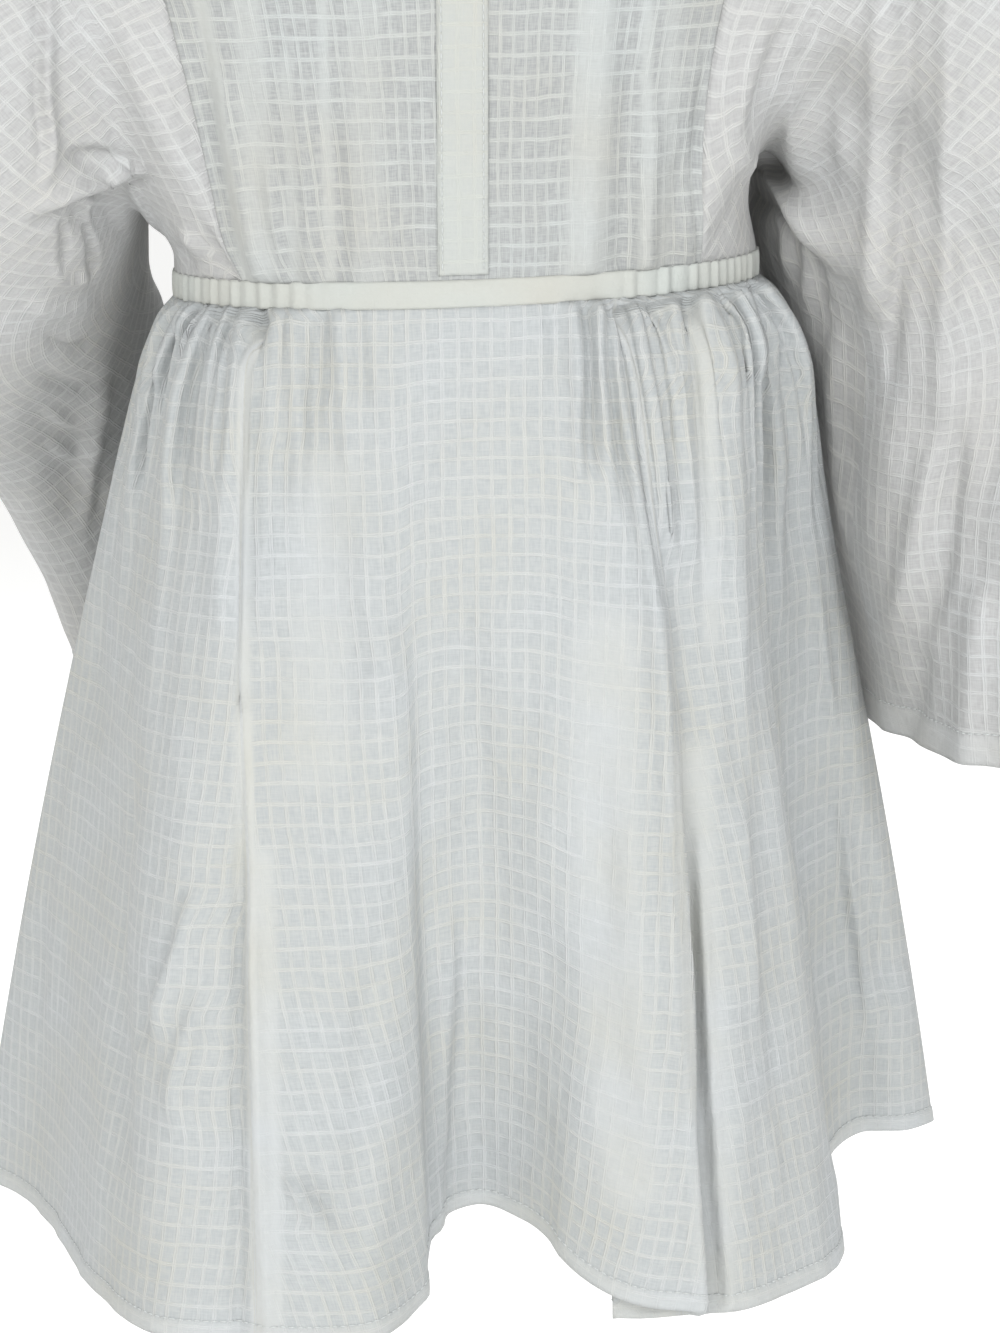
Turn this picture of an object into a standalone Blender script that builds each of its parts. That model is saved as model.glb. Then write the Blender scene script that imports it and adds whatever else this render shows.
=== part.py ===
"""Mini dress of windowpane cotton: a loose bodice, wide sleeves, an elastic waist casing and a full skirt.

The dress keeps the shape of a worn one with nothing inside it: each piece is a hollow wall of cloth.
Metres, +Z up. The front faces -Y. The origin lies midway between the shoulders, at the height of the neck.
"""

import bmesh
import bpy
import numpy as np

MM = 0.001

# Cloth and seams
CLOTH = 1.2 * MM
SEAM_GAP = 0.3 * MM

# Waist: an oval ring, a little lower on the left
WAIST_HEIGHT = -0.395
WAIST_SLOPE = 0.036
WAIST_SHIFT = 0.004
WAIST_HALF_WIDTH = 0.122
WAIST_HALF_DEPTH = 0.095
CASING_HEIGHT = 9.5 * MM
CASING_WALL = 2.4 * MM
CASING_BULGE = 0.5 * MM

# Skirt
HEM_HEIGHT = -0.820
GATHER_DEPTH = 3.2 * MM
COLUMNS_PER_GATHER = 3
FRONT_GATHERS = 30
BACK_GATHERS = 28
SKIRT_LEVELS = (1.0, 0.81, 0.61, 0.43, 0.29, 0.175, 0.09, 0.035, 0.0)
FLAT_FRONT = 25
CENTRE_FRONT = 50
CENTRE_BLEND = 34
BELL = 0.30
PUFF = 6.5 * MM
PUFF_LEVEL = 0.075
TUCK_START = 0.4

# Bodice
NECK_HALF_WIDTH = 0.085
NECK_FRONT_DEPTH = 0.080
NECK_BACK_DEPTH = 0.070
NECK_FRONT_DROP = 0.067
NECK_BACK_DROP = 0.012
NECK_SIDE_HEIGHT = -0.008
SHOULDER_HALF_WIDTH = 0.190
SHOULDER_HEIGHT = -0.040
NECK_SHARE = 0.5
BODICE_COLUMNS = 32
BODICE_ROWS = 13
SEAM_BEARINGS = (-47.0, 51.6)
BODICE_PUCKER = 1.6 * MM
BINDING_HEIGHT = 8 * MM
PLACKET_WIDTH = 20 * MM
PLACKET_COLUMNS = 4
PLACKET_LIFT = 0.2

# Sleeves
SLEEVE_ROWS = 13
SIDE_COLUMNS = 6
SLEEVE_HEM = 15 * MM
SLEEVE_HEM_WALL = 2.0 * MM

# Each row is a ridge, hollow or edge of the skirt, read once round from the centre back by the left side.
# bearing: where it leaves the waist, in degrees, 0 at the front and 90 at the right. x and y: where it
# meets the hem. lift: how far the hem rides up there. bow: how far it lies to the right of its straight
# run half way down. tuck: how far a fold slips sideways under its neighbour at the hem. All five in
# millimetres.
SKIRT_FOLDS = (
    # name, bearing, x, y, lift, bow, tuck
    ("back ridge", -180, -5, 172, 4, 0, 0),
    ("back hollow", -164, -48, 130, 6, 0, 0),
    ("back left ridge", -149, -88, 162, 4, 0, 0),
    ("back left hollow", -133, -122, 128, 6, 0, 0),
    ("left rear ridge", -118, -174, 144, 2, 0, 0),
    ("left rear hollow", -105, -192, 104, 3, 0, 0),
    ("left side", -90, -222, 68, 2, 0, 0),
    ("left side front", -79, -195, 34, 0, 0, 0),
    ("left hollow", -71, -176, -12, 0, 0, 0),
    ("left slope", -61, -151, -80, 0, 0, 0),
    ("left shoulder of ridge", -51, -121, -123, 0, 0, 0),
    ("left strip", -43, -90, -129, 0, 0, 0),
    ("left ridge", -31, -58, -135, 0, 0, 0),
    ("left ridge end", -19, -30, -125, 0, 0, 0),
    ("left turn", -13, -13, -92, 6, 0, 0),
    ("valley wall", -8, -11, -66, 24, 0, 0),
    ("valley", 0, 8, -54, 31, 0, 0),
    ("valley rise", 7, 25, -64, 30, 0, 0),
    ("right slope", 14, 38, -80, 26, 0, 0),
    ("right rise", 19, 52, -99, 16, 0, 0),
    ("right ridge", 24, 79, -110, 7, 0, 0),
    ("overlap edge", 27.5, 103, -108, 4, 0, 0),
    ("overlap back", 29, 105, -100, 0, 0, -8),
    ("overlap root", 31.5, 105, -87, -3, 0, -50),
    ("overlap return", 34.5, 107, -76, -2, 0, -14),
    ("right rib", 40, 118, -88, 0, 0, 0),
    ("right panel", 46, 133, -85, 0, -4, 0),
    ("right corner front", 52, 151, -64, 0, -10, 0),
    ("right corner", 58, 166, -24, 0, -13, 0),
    ("right hollow", 66, 163, 40, 12, -6, 0),
    ("side lobe front", 73, 184, 66, 21, 0, 0),
    ("side lobe", 81, 206, 68, 22, 0, 0),
    ("right side", 90, 221, 88, 20, 0, 0),
    ("right rear hollow", 101, 190, 116, 10, 0, 0),
    ("right rear ridge", 114, 152, 150, 5, 0, 0),
    ("back right hollow", 128, 116, 124, 6, 0, 0),
    ("back right ridge", 144, 78, 164, 4, 0, 0),
    ("back right inner hollow", 162, 38, 130, 6, 0, 0),
)

# Long creases that run down the skirt from the gathers. left and right: how far each flank reaches, in
# degrees at the waist. rise: its height in millimetres. start and end: shares of the skirt's length.
SKIRT_CREASES = (
    # name, bearing, left, right, rise, start, end
    ("left gather, outer", -74, 4, 4, 5, 0.0, 0.45),
    ("left gather, inner", -58, 4, 4, 4, 0.0, 0.55),
    ("left overlap", -41, 8, 2.5, 7, 0.02, 0.6),
    ("right overlap", 27.5, 7, 2.5, 6, 0.0, 0.9),
    ("right rib", 49, 4.5, 4.5, 7, 0.0, 0.55),
    ("right edge", 57.5, 6, 3, 6, 0.0, 1.2),
    ("right gather", 76, 4, 3, 5, 0.0, 0.4),
    ("back gather, right", 118, 6, 6, 5, 0.0, 0.6),
    ("back gather, middle", 155, 7, 5, 5, 0.0, 0.5),
    ("back gather, left", -150, 6, 6, 5, 0.0, 0.55),
    ("back gather, outer left", -112, 5, 6, 5, 0.0, 0.5),
)

# Level sections of the bodice. left and right: x of its seams with the sleeves. edge: how far those seams
# lie before or behind the side line. front and back: how far each panel stands out at its centre. All in
# millimetres. The last row is only a key: its points are those of the neckline and shoulders.
BODICE_SECTIONS = (
    # name, height, left, right, edge, front, back
    ("above the casing", -390, -85, 100, 62, 95, 95),
    ("blouse", -378, -91, 100, 66, 96, 97),
    ("side seam end", -351, -97, 99, 72, 99, 101),
    ("low", -325, -102, 100, 77, 103, 105),
    ("under the arm", -290, -110, 105, 82, 108, 108),
    ("chest", -190, -139, 139, 84, 115, 112),
    ("yoke", -105, -169, 171, 58, 108, 105),
    ("top", -20, -190, 190, 0, 80, 70),
)

# Rings of each sleeve, from the armhole to the hem. x, y and z: the middle. across: from there to its
# outer side. deep: from there to its front. tip: degrees that its outer side is tipped up. pitch: degrees
# that its front is tipped down. swing: degrees that its front is turned outwards. Sizes in millimetres.
LEFT_SLEEVE_RINGS = (
    # name, x, y, z, across, deep, tip, pitch, swing
    ("side", -162, 0, -222, 167, 88, 75, 0, 0),
    ("cap", -178, 0, -242, 148, 90, 68, 0, 0),
    ("upper", -190, 2, -285, 108, 90, 54, 0, 0),
    ("fold over the elbow", -198, 4, -341, 74, 88, 24, 4, 0),
    ("under the fold", -194, 10, -367, 62, 80, 13, 8, 4),
    ("elbow", -192, 38, -412, 53, 70, 0, 20, 15),
    ("forearm", -165, 104, -474, 34, 55, -14, 34, 34),
    ("wrist", -146, 150, -526, 38, 55, -20, 36, 40),
    ("hem", -136, 194, -566, 42, 58, -20, 36, 40),
)
RIGHT_SLEEVE_RINGS = (
    ("side", 163, 0, -208, 155, 88, 74, 0, 0),
    ("cap", 181, 2, -230, 127, 92, 65, 0, 0),
    ("web", 199, 3, -277, 98, 94, 53, 0, 10),
    ("fall", 199, 10, -342, 72, 97, 31, 0, 36),
    ("hang", 220, 25, -415, 66, 103, 4, 0, 42),
    ("middle", 235, 42, -505, 66, 102, 0, 0, 22),
    ("hem", 247, 56, -602, 60, 106, 0, 0, 14),
)

# Folds that run down the sleeves. angle: degrees round the ring, 0 outside, 90 front and 180 inside.
SLEEVE_FOLDS = (
    # side, angle, width, rise, start, end
    ("left", 60, 14, 5, 0.05, 0.5),
    ("left", 130, 14, -5, 0.45, 0.95),
    ("left", 210, 16, 5, 0.1, 1.0),
    ("left", 300, 18, 6, 0.1, 1.0),
    ("right", 62, 16, 6, 0.1, 1.2),
    ("right", 138, 11, -8, 0.1, 0.9),
    ("right", 168, 10, 6, 0.3, 1.0),
    ("right", 250, 18, -7, 0.1, 1.2),
    ("right", 310, 20, 7, 0.1, 1.2),
)


def spline(keys, values, at, steady=False):
    """Read a smooth curve through values, one for each rising key, at each number in at.

    A steady curve never swings past the values that it joins.
    """
    keys = np.asarray(keys, float)
    values = np.asarray(values, float)
    at = np.asarray(at, float)
    slopes = np.gradient(values, keys, axis=0)
    if steady:
        rises = np.diff(values, axis=0) / np.diff(keys).reshape((-1,) + (1,) * (values.ndim - 1))
        turning = rises[1:] * rises[:-1] <= 0
        limit = 3 * np.minimum(np.abs(rises[1:]), np.abs(rises[:-1]))
        slopes[1:-1] = np.where(turning, 0, np.clip(slopes[1:-1], -limit, limit))
    left = np.clip(np.searchsorted(keys, at, side="right") - 1, 0, len(keys) - 2)
    span = keys[left + 1] - keys[left]
    share = (at - keys[left]) / span
    spread = (slice(None),) + (None,) * (values.ndim - 1)
    span = span[spread]
    share = share[spread]
    rest = 1 - share
    ends = values[left] * (1 + 2 * share) * rest**2 + values[left + 1] * (3 - 2 * share) * share**2
    turns = slopes[left] * share * rest**2 - slopes[left + 1] * share**2 * rest
    return ends + span * turns


def ease(value):
    """Go from 0 to 1 smoothly as value does."""
    value = np.clip(value, 0.0, 1.0)
    return value * value * (3 - 2 * value)


def crease(distance, left, right):
    """The profile of a crease with a flank of its own on either side, 1 high at distance 0."""
    return np.exp(-((distance / np.where(distance < 0, left, right)) ** 2))


def waist_points(bearing, height=0.0):
    """Points on the waist line, raised by height."""
    angle = np.radians(bearing)
    x = WAIST_SHIFT + WAIST_HALF_WIDTH * np.sin(angle)
    y = -WAIST_HALF_DEPTH * np.cos(angle)
    return np.stack([x, y, WAIST_HEIGHT + WAIST_SLOPE * x + height], -1)


def waist_outward(bearing):
    """Level directions out of the waist line."""
    angle = np.radians(bearing)
    x = np.sin(angle) * WAIST_HALF_DEPTH
    y = -np.cos(angle) * WAIST_HALF_WIDTH
    return np.stack([x, y, 0 * x], -1) / np.hypot(x, y)[..., None]


def gathering(bearing):
    """How much the cloth is gathered: not at all across the flat front, and fully at the sides."""
    off_centre = np.abs((np.asarray(bearing) + 180) % 360 - 180)
    return ease((off_centre - FLAT_FRONT) / 12)


def gather_wave(columns, first=0):
    """One ridge to every few columns of the cloth, each of its own height."""
    index = np.arange(columns) + first
    ridge = np.where(index % COLUMNS_PER_GATHER == 0, 1.0, -0.5)
    return ridge * (0.78 + 0.22 * np.sin(2.4 * (index // COLUMNS_PER_GATHER)))


def skirt_keys():
    """Shares of the way round at which the skirt's folds lie, counted half at the waist, half at the hem."""
    bearing = np.array([row[1] for row in SKIRT_FOLDS] + [180.0])
    hem = np.array([(x + tuck, y) for _, _, x, y, _, _, tuck in SKIRT_FOLDS + SKIRT_FOLDS[:1]], float)
    along = np.concatenate([[0], np.cumsum(np.linalg.norm(np.diff(hem, axis=0), axis=1))])
    return 0.5 * (bearing + 180) / 360 + 0.5 * along / along[-1]


def skirt_fold_values(share):
    """Bearing, hem x, hem y, lift, bow and tuck of the skirt, at shares of the way round."""
    keys = skirt_keys()[:-1]
    rows = np.array([row[1:] for row in SKIRT_FOLDS], float)
    turn = np.array([360.0, 0, 0, 0, 0, 0])
    keys = np.concatenate([keys - 1, keys, keys + 1])
    rows = np.concatenate([rows - turn, rows, rows + turn])
    return spline(keys, rows, share).T


def skirt_panel(first_fold, last_fold, gathers):
    """Points of one skirt panel, from its hem up to the waist, between two folds of the table."""
    names = [row[0] for row in SKIRT_FOLDS]
    keys = skirt_keys()
    start = keys[names.index(first_fold)]
    end = keys[names.index(last_fold)]
    if end < start:
        end += 1
    columns = gathers * COLUMNS_PER_GATHER + 1
    bearing, hem_x, hem_y, lift, bow, tuck = skirt_fold_values(np.linspace(start, end, columns))
    top = waist_points(bearing, -CASING_HEIGHT / 2 - SEAM_GAP)
    out = waist_outward(bearing)
    hem = np.stack([hem_x, hem_y, lift], -1) * MM
    hem[:, 2] += HEM_HEIGHT
    gathered = gathering(bearing)
    wave = gather_wave(columns) * gathered
    wave[[0, -1]] = 0
    side = np.sin(np.radians(bearing))
    centre = ease((CENTRE_FRONT - np.abs((bearing + 180) % 360 - 180)) / CENTRE_BLEND)
    rows = []
    for level in SKIRT_LEVELS:
        flare = level + BELL * level**0.7 * (1 - level)
        forward = flare + (level**1.9 - flare) * centre
        row = top + (hem - top) * np.stack([0 * centre + flare, forward, 0 * centre + level], -1)
        row[:, 0] += bow * MM * 4 * level * (1 - level)
        row[:, 0] += tuck * MM * ease((level - TUCK_START) / (1 - TUCK_START))
        swell = 14 * MM * np.cos(np.radians(bearing)) ** 2 * np.sin(np.pi * level**0.8)
        puff = PUFF * gathered * (1 + 0.4 * side) * (level / PUFF_LEVEL) * np.exp(1 - level / PUFF_LEVEL)
        gather = GATHER_DEPTH * wave * (0.12 + 0.88 * ease(level / 0.035)) * np.exp(-level / 0.13)
        rise = swell + puff + gather
        for _, at, left, right, height, begin, finish in SKIRT_CREASES:
            away = (bearing - at + 180) % 360 - 180
            strength = ease((level - begin + 0.02) / 0.06) * ease((finish - level) / 0.3)
            rise = rise + height * MM * strength * crease(away, left, right)
        rows.append(row + out * rise[:, None])
    return np.array(rows)


def bodice_top(across, depth, drop):
    """The neckline and the shoulder line, at shares from -1 to 1 across the bodice."""
    off = np.abs(across)
    neck = np.clip(off / NECK_SHARE, 0, 1) * np.pi / 2
    shoulder = np.clip((off - NECK_SHARE) / (1 - NECK_SHARE), 0, 1)
    x = NECK_HALF_WIDTH * np.sin(neck) + (SHOULDER_HALF_WIDTH - NECK_HALF_WIDTH) * shoulder
    y = depth * np.cos(neck) * (off < NECK_SHARE)
    z = NECK_SIDE_HEIGHT - drop * np.cos(neck) + (SHOULDER_HEIGHT - NECK_SIDE_HEIGHT) * shoulder
    return np.stack([np.sign(across) * x, y, z], -1)


def bodice_rows():
    """Shares of the way up the bodice at which its rows lie, closer together at the waist and shoulder."""
    share = np.linspace(0, 1, BODICE_ROWS + 1)
    return share - 0.08 * np.sin(2 * np.pi * share)


def bodice_panel(facing):
    """Points of the front or back of the bodice, from the waist up. The front faces -1 and the back 1."""
    across = np.linspace(-1, 1, BODICE_COLUMNS + 1) * -facing
    turn = np.where(across < 0, -across * SEAM_BEARINGS[0], across * SEAM_BEARINGS[1])
    bearing = turn if facing < 0 else 180 - turn
    widest = np.where(across < 0, SEAM_BEARINGS[0], SEAM_BEARINGS[1])
    sideways = np.sin(np.radians(turn)) / np.abs(np.sin(np.radians(widest)))
    bow = (np.cos(np.radians(turn)) - np.cos(np.radians(widest))) / (1 - np.cos(np.radians(widest)))
    sections = []
    for name, height, left, right, edge, front, back in BODICE_SECTIONS:
        middle = WAIST_SHIFT / MM
        centre = front if facing < 0 else back
        half = np.where(across < 0, middle - left, right - middle)
        x = (middle + half * sideways) * MM
        y = facing * (edge + (centre - edge) * bow) * MM
        lean = WAIST_SLOPE * (height - SHOULDER_HEIGHT / MM) / (WAIST_HEIGHT - SHOULDER_HEIGHT) * MM
        sections.append(np.stack([x, y, height * MM + lean * x], -1))
    sections[0] = waist_points(bearing, CASING_HEIGHT / 2 + SEAM_GAP)
    depth, drop = (-NECK_FRONT_DEPTH, NECK_FRONT_DROP) if facing < 0 else (NECK_BACK_DEPTH, NECK_BACK_DROP)
    sections[-1] = bodice_top(across, depth, drop)
    heights = np.array([row[1] for row in BODICE_SECTIONS])
    at = heights[0] + (heights[-1] - heights[0]) * bodice_rows()
    rows = spline(heights, np.array(sections), at, steady=True)
    wave = gather_wave(BODICE_COLUMNS + 1) * gathering(bearing)
    wave[[0, -1]] = 0
    rise = BODICE_PUCKER * np.outer(np.exp((heights[0] - at) / 22), wave)
    rise[0] *= 0.25
    return rows + waist_outward(bearing) * rise[:, :, None]


def sleeve_ring(row, side, angles):
    """Points round one ring of a sleeve."""
    x, y, z, across, deep = (value * MM for value in row[1:6])
    tip, pitch, swing = (np.radians(value) for value in row[6:9])
    outer = np.array([side * np.cos(tip) * np.cos(swing), np.cos(tip) * np.sin(swing), np.sin(tip)])
    front = np.array([side * np.sin(swing), -np.cos(swing) * np.cos(pitch), -np.sin(pitch)])
    turned = np.outer(np.cos(angles), outer * across) + np.outer(np.sin(angles), front * deep)
    return np.array([x, y, z]) + turned


def sleeve(side, rings, front, back):
    """Points of a sleeve, one column for each point of its edge, which runs down the front seam from the
    shoulder, along the waist under the arm and up the back seam.
    """
    front_edge = front[:, 0 if side < 0 else -1]
    back_edge = back[:, -1 if side < 0 else 0]
    front_bearing = SEAM_BEARINGS[0 if side < 0 else 1]
    waist_bearing = np.linspace(front_bearing, side * 180 - front_bearing, SIDE_COLUMNS + 1)[1:-1]
    waist_edge = waist_points(waist_bearing, CASING_HEIGHT / 2 + SEAM_GAP)
    armhole = np.concatenate([front_edge[::-1], waist_edge, back_edge[:-1]])
    count = len(armhole)
    angles = np.linspace(0, 2 * np.pi, count, endpoint=False)
    sections = np.array([armhole] + [sleeve_ring(row, side, angles) for row in rings])
    steps = np.linalg.norm(np.diff(sections, axis=0), axis=2).mean(axis=1)
    keys = np.concatenate([[0], np.cumsum(steps)])
    at = np.linspace(0, keys[-1] - SLEEVE_HEM, SLEEVE_ROWS)
    at = np.append(at, keys[-1])
    rows = spline(keys, sections, at)
    middle = rows.mean(axis=1, keepdims=True)
    out = rows - middle
    out /= np.linalg.norm(out, axis=2, keepdims=True)
    degrees = np.degrees(angles)
    share = at / keys[-1]
    for name, angle, width, rise, start, end in SLEEVE_FOLDS:
        if name == ("left" if side < 0 else "right"):
            away = (degrees - angle + 180) % 360 - 180
            strength = ease((share - start) / 0.2) * ease((end - share) / 0.2)
            rows = rows + out * (rise * MM * np.outer(strength, crease(away, width, width)))[:, :, None]
    return rows


def grid_normals(rows, closed):
    """Unit normals of a grid of points, out of the cloth where columns run left and rows run up."""
    if closed:
        along = np.roll(rows, -1, axis=1) - np.roll(rows, 1, axis=1)
    else:
        along = np.gradient(rows, axis=1)
    normals = np.cross(along, np.gradient(rows, axis=0))
    return normals / np.linalg.norm(normals, axis=2, keepdims=True)


def share_seam_normals(panels):
    """Give points that several panels share one normal, so that their walls meet in one plane."""
    total = {}
    for rows, normals in panels:
        for point, normal in zip(rows.reshape(-1, 3), normals.reshape(-1, 3)):
            key = tuple(np.round(point, 6))
            total[key] = total.get(key, 0) + normal
    for rows, normals in panels:
        flat = normals.reshape(-1, 3)
        for index, point in enumerate(rows.reshape(-1, 3)):
            normal = total[tuple(np.round(point, 6))]
            flat[index] = normal / np.linalg.norm(normal)


def pull_back(rows, edges):
    """Draw the named edges of a panel in by half a seam gap."""
    pulled = rows.copy()
    inner = {"first row": rows[1], "last row": rows[-2]}
    outer = {"first row": 0, "last row": -1}
    for name in edges:
        if name in inner:
            step = inner[name] - rows[outer[name]]
            length = np.linalg.norm(step, axis=-1, keepdims=True)
            pulled[outer[name]] += step / length * SEAM_GAP * 0.7
    for name, edge, next_column in (("first column", 0, 1), ("last column", -1, -2)):
        if name in edges:
            step = rows[:, next_column] - rows[:, edge]
            length = np.linalg.norm(step, axis=-1, keepdims=True)
            pulled[:, edge] += step / length * SEAM_GAP * 0.7
    return pulled


def cotton(name, colour, roughness):
    """Plain woven cotton of one colour."""
    material = bpy.data.materials.new(name)
    material.use_nodes = True
    shader = material.node_tree.nodes["Principled BSDF"]
    shader.inputs["Base Color"].default_value = (*colour, 1)
    shader.inputs["Roughness"].default_value = roughness
    shader.inputs["Metallic"].default_value = 0.0
    return material


def cloth_wall(name, rows, normals, wall, material, closed=False):
    """Make a wall of cloth from its outer points, its thickness laid inwards, as one closed body."""
    levels, columns = rows.shape[:2]
    wall = np.broadcast_to(np.asarray(wall, float), (levels,))
    inside = rows - normals * wall[:, None, None]
    mesh = bmesh.new()
    outer = [[mesh.verts.new(point) for point in row] for row in rows.tolist()]
    inner = [[mesh.verts.new(point) for point in row] for row in inside.tolist()]
    spans = [(c, (c + 1) % columns) for c in range(columns if closed else columns - 1)]
    for r in range(levels - 1):
        for a, b in spans:
            mesh.faces.new((outer[r][a], outer[r][b], outer[r + 1][b], outer[r + 1][a]))
            mesh.faces.new((inner[r][b], inner[r][a], inner[r + 1][a], inner[r + 1][b]))
    for r, turn in ((0, 1), (levels - 1, -1)):
        for a, b in spans:
            rim = (outer[r][b], outer[r][a], inner[r][a], inner[r][b])
            mesh.faces.new(rim[::turn])
    if not closed:
        for c, turn in ((0, 1), (columns - 1, -1)):
            for r in range(levels - 1):
                rim = (outer[r][c], outer[r + 1][c], inner[r + 1][c], inner[r][c])
                mesh.faces.new(rim[::turn])
    bmesh.ops.triangulate(mesh, faces=mesh.faces[:], quad_method="SHORT_EDGE")
    bmesh.ops.recalc_face_normals(mesh, faces=mesh.faces[:])
    data = bpy.data.meshes.new(name)
    mesh.to_mesh(data)
    mesh.free()
    data.materials.append(material)
    data.shade_smooth()
    piece = bpy.data.objects.new(name, data)
    bpy.context.collection.objects.link(piece)
    return piece


def make_skirt(material):
    """Front and back of the skirt, joined at the sides, gathered at the waist."""
    front = skirt_panel("left side", "right side", FRONT_GATHERS)
    back = skirt_panel("right side", "left side", BACK_GATHERS)
    front_normals = grid_normals(front, False)
    back_normals = grid_normals(back, False)
    share_seam_normals([(front, front_normals), (back, back_normals)])
    sides = ("first column", "last column")
    cloth_wall("skirt_front", pull_back(front, sides), front_normals, CLOTH, material)
    cloth_wall("skirt_back", pull_back(back, sides), back_normals, CLOTH, material)


def make_casing(material):
    """The stitched tunnel that holds the elastic: flat at the centre front, puckered elsewhere."""
    columns = 96
    bearing = np.arange(columns) * 360 / columns - 180
    pucker = 0.5 * MM * np.where(np.arange(columns) % 2, 1, -1) * gathering(bearing)
    rows = []
    for height, bulge in ((-0.5, 0.0), (0.0, CASING_BULGE), (0.5, 0.0)):
        out = CASING_BULGE + bulge + pucker * (0.4 + 0.6 * (height == 0))
        rows.append(waist_points(bearing, height * CASING_HEIGHT) + waist_outward(bearing) * out[:, None])
    rows = np.array(rows)
    normals = np.broadcast_to(waist_outward(bearing), rows.shape)
    cloth_wall("waist_casing", rows, normals, CASING_WALL, material, closed=True)


def make_bodice_and_sleeves(bodice_cloth, sleeve_cloth, doubled_cloth):
    """Front, back and sleeves, which share their seams, and the trims that lie on the front and neck."""
    front = bodice_panel(-1)
    back = bodice_panel(1)
    left = sleeve(-1, LEFT_SLEEVE_RINGS, front, back)
    right = sleeve(1, RIGHT_SLEEVE_RINGS, front, back)
    front_normals = grid_normals(front, False)
    back_normals = grid_normals(back, False)
    left_normals = grid_normals(left, True) * -1
    right_normals = grid_normals(right, True)
    share_seam_normals(
        [(front, front_normals), (back, back_normals), (left, left_normals), (right, right_normals)]
    )
    seams = ("last row", "first column", "last column")
    front = pull_back(front, seams)
    back = pull_back(back, seams)
    cloth_wall("bodice_front", front, front_normals, CLOTH, bodice_cloth)
    cloth_wall("bodice_back", back, back_normals, CLOTH, bodice_cloth)
    hem_wall = np.full(SLEEVE_ROWS + 1, CLOTH)
    hem_wall[-2:] = SLEEVE_HEM_WALL
    for name, rows, normals in (("sleeve_left", left, left_normals), ("sleeve_right", right, right_normals)):
        cloth_wall(name, pull_back(rows, ("first row",)), normals, hem_wall, sleeve_cloth, closed=True)
    make_placket(front, front_normals, doubled_cloth)
    make_binding(front, back, doubled_cloth)


def make_placket(front, normals, material):
    """The doubled strip down the centre front, laid on the front panel from the neck to the waist."""
    middle = BODICE_COLUMNS // 2
    centre = front[:, middle : middle + 1]
    reach = np.linspace(-1, 1, PLACKET_COLUMNS + 1)[None, :, None] * PLACKET_WIDTH / 2
    step = front[:, middle + 1 : middle + 2] - front[:, middle - 1 : middle]
    strip = centre + reach * step / np.linalg.norm(step, axis=2, keepdims=True)
    lie = normals[:, middle : middle + 1]
    strip = strip + lie * (CLOTH + SEAM_GAP)
    strip[0] += (strip[1] - strip[0]) * PLACKET_LIFT
    cloth_wall("front_placket", strip[:-1], np.broadcast_to(lie, strip.shape)[:-1], CLOTH, material)


def make_binding(front, back, material):
    """The narrow band that finishes the neck edge and stands up from it."""
    neck = np.abs(np.linspace(-1, 1, BODICE_COLUMNS + 1)) <= NECK_SHARE
    edge = np.concatenate([front[-1][neck], back[-1][neck][1:-1]])
    out = np.roll(edge, -1, axis=0) - np.roll(edge, 1, axis=0)
    out = np.cross(out, [0, 0, 1.0])
    out /= np.linalg.norm(out, axis=1, keepdims=True)
    foot = edge + np.array([0, 0, SEAM_GAP])
    top = foot - out * BINDING_HEIGHT * 0.35 + np.array([0, 0, BINDING_HEIGHT * 0.94])
    rows = np.array([foot, (foot + top) / 2 + out * 0.5 * MM, top])
    normals = np.broadcast_to(out, rows.shape)
    cloth_wall("neck_binding", rows, normals, 2 * CLOTH, material, closed=True)


for item in list(bpy.data.objects):
    bpy.data.objects.remove(item, do_unlink=True)

skirt_cotton = cotton("skirt cotton", (0.68, 0.71, 0.70), 0.85)
bodice_cotton = cotton("sheer bodice cotton", (0.62, 0.63, 0.62), 0.85)
sleeve_cotton = cotton("sleeve cotton", (0.60, 0.60, 0.59), 0.85)
doubled_cotton = cotton("doubled cotton", (0.75, 0.76, 0.72), 0.85)
make_skirt(skirt_cotton)
make_casing(doubled_cotton)
make_bodice_and_sleeves(bodice_cotton, sleeve_cotton, doubled_cotton)
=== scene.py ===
import bpy
import numpy as np
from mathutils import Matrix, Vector, noise


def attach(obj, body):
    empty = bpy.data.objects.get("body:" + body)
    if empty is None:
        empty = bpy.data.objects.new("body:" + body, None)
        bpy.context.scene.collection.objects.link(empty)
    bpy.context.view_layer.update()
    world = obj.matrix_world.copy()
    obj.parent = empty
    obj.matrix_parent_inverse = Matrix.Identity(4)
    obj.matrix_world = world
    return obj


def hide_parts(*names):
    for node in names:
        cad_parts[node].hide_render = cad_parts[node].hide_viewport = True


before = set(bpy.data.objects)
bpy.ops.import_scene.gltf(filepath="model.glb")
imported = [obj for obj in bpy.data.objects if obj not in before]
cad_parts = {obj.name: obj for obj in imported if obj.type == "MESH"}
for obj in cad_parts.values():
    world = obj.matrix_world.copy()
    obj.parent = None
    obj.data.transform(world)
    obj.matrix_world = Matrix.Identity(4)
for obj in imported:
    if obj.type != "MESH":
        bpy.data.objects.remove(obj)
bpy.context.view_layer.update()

# Bodice, front and back. Two wide panels of sheer windowpane cotton, cut loose and gathered into the
# waist. They are joined to each other at the shoulders and to the sleeves down seams at both sides.
MM = 0.001
SHELL = 0.8 * MM
WAIST_HEIGHT = -0.395
WAIST_SLOPE = 0.036
WAIST_SHIFT = 0.004
WAIST_HALF_WIDTH = 0.122
WAIST_HALF_DEPTH = 0.095
CASING_HEIGHT = 9.5 * MM
SEAM_GAP = 0.3 * MM
FLAT_FRONT = 25
FLAT_BLEND = 12
NECK_HALF_WIDTH = 0.085
NECK_FRONT = (-0.080, 0.067)
NECK_BACK = (0.070, 0.012)
NECK_SIDE_HEIGHT = -0.008
SHOULDER_HALF_WIDTH = 0.190
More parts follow.
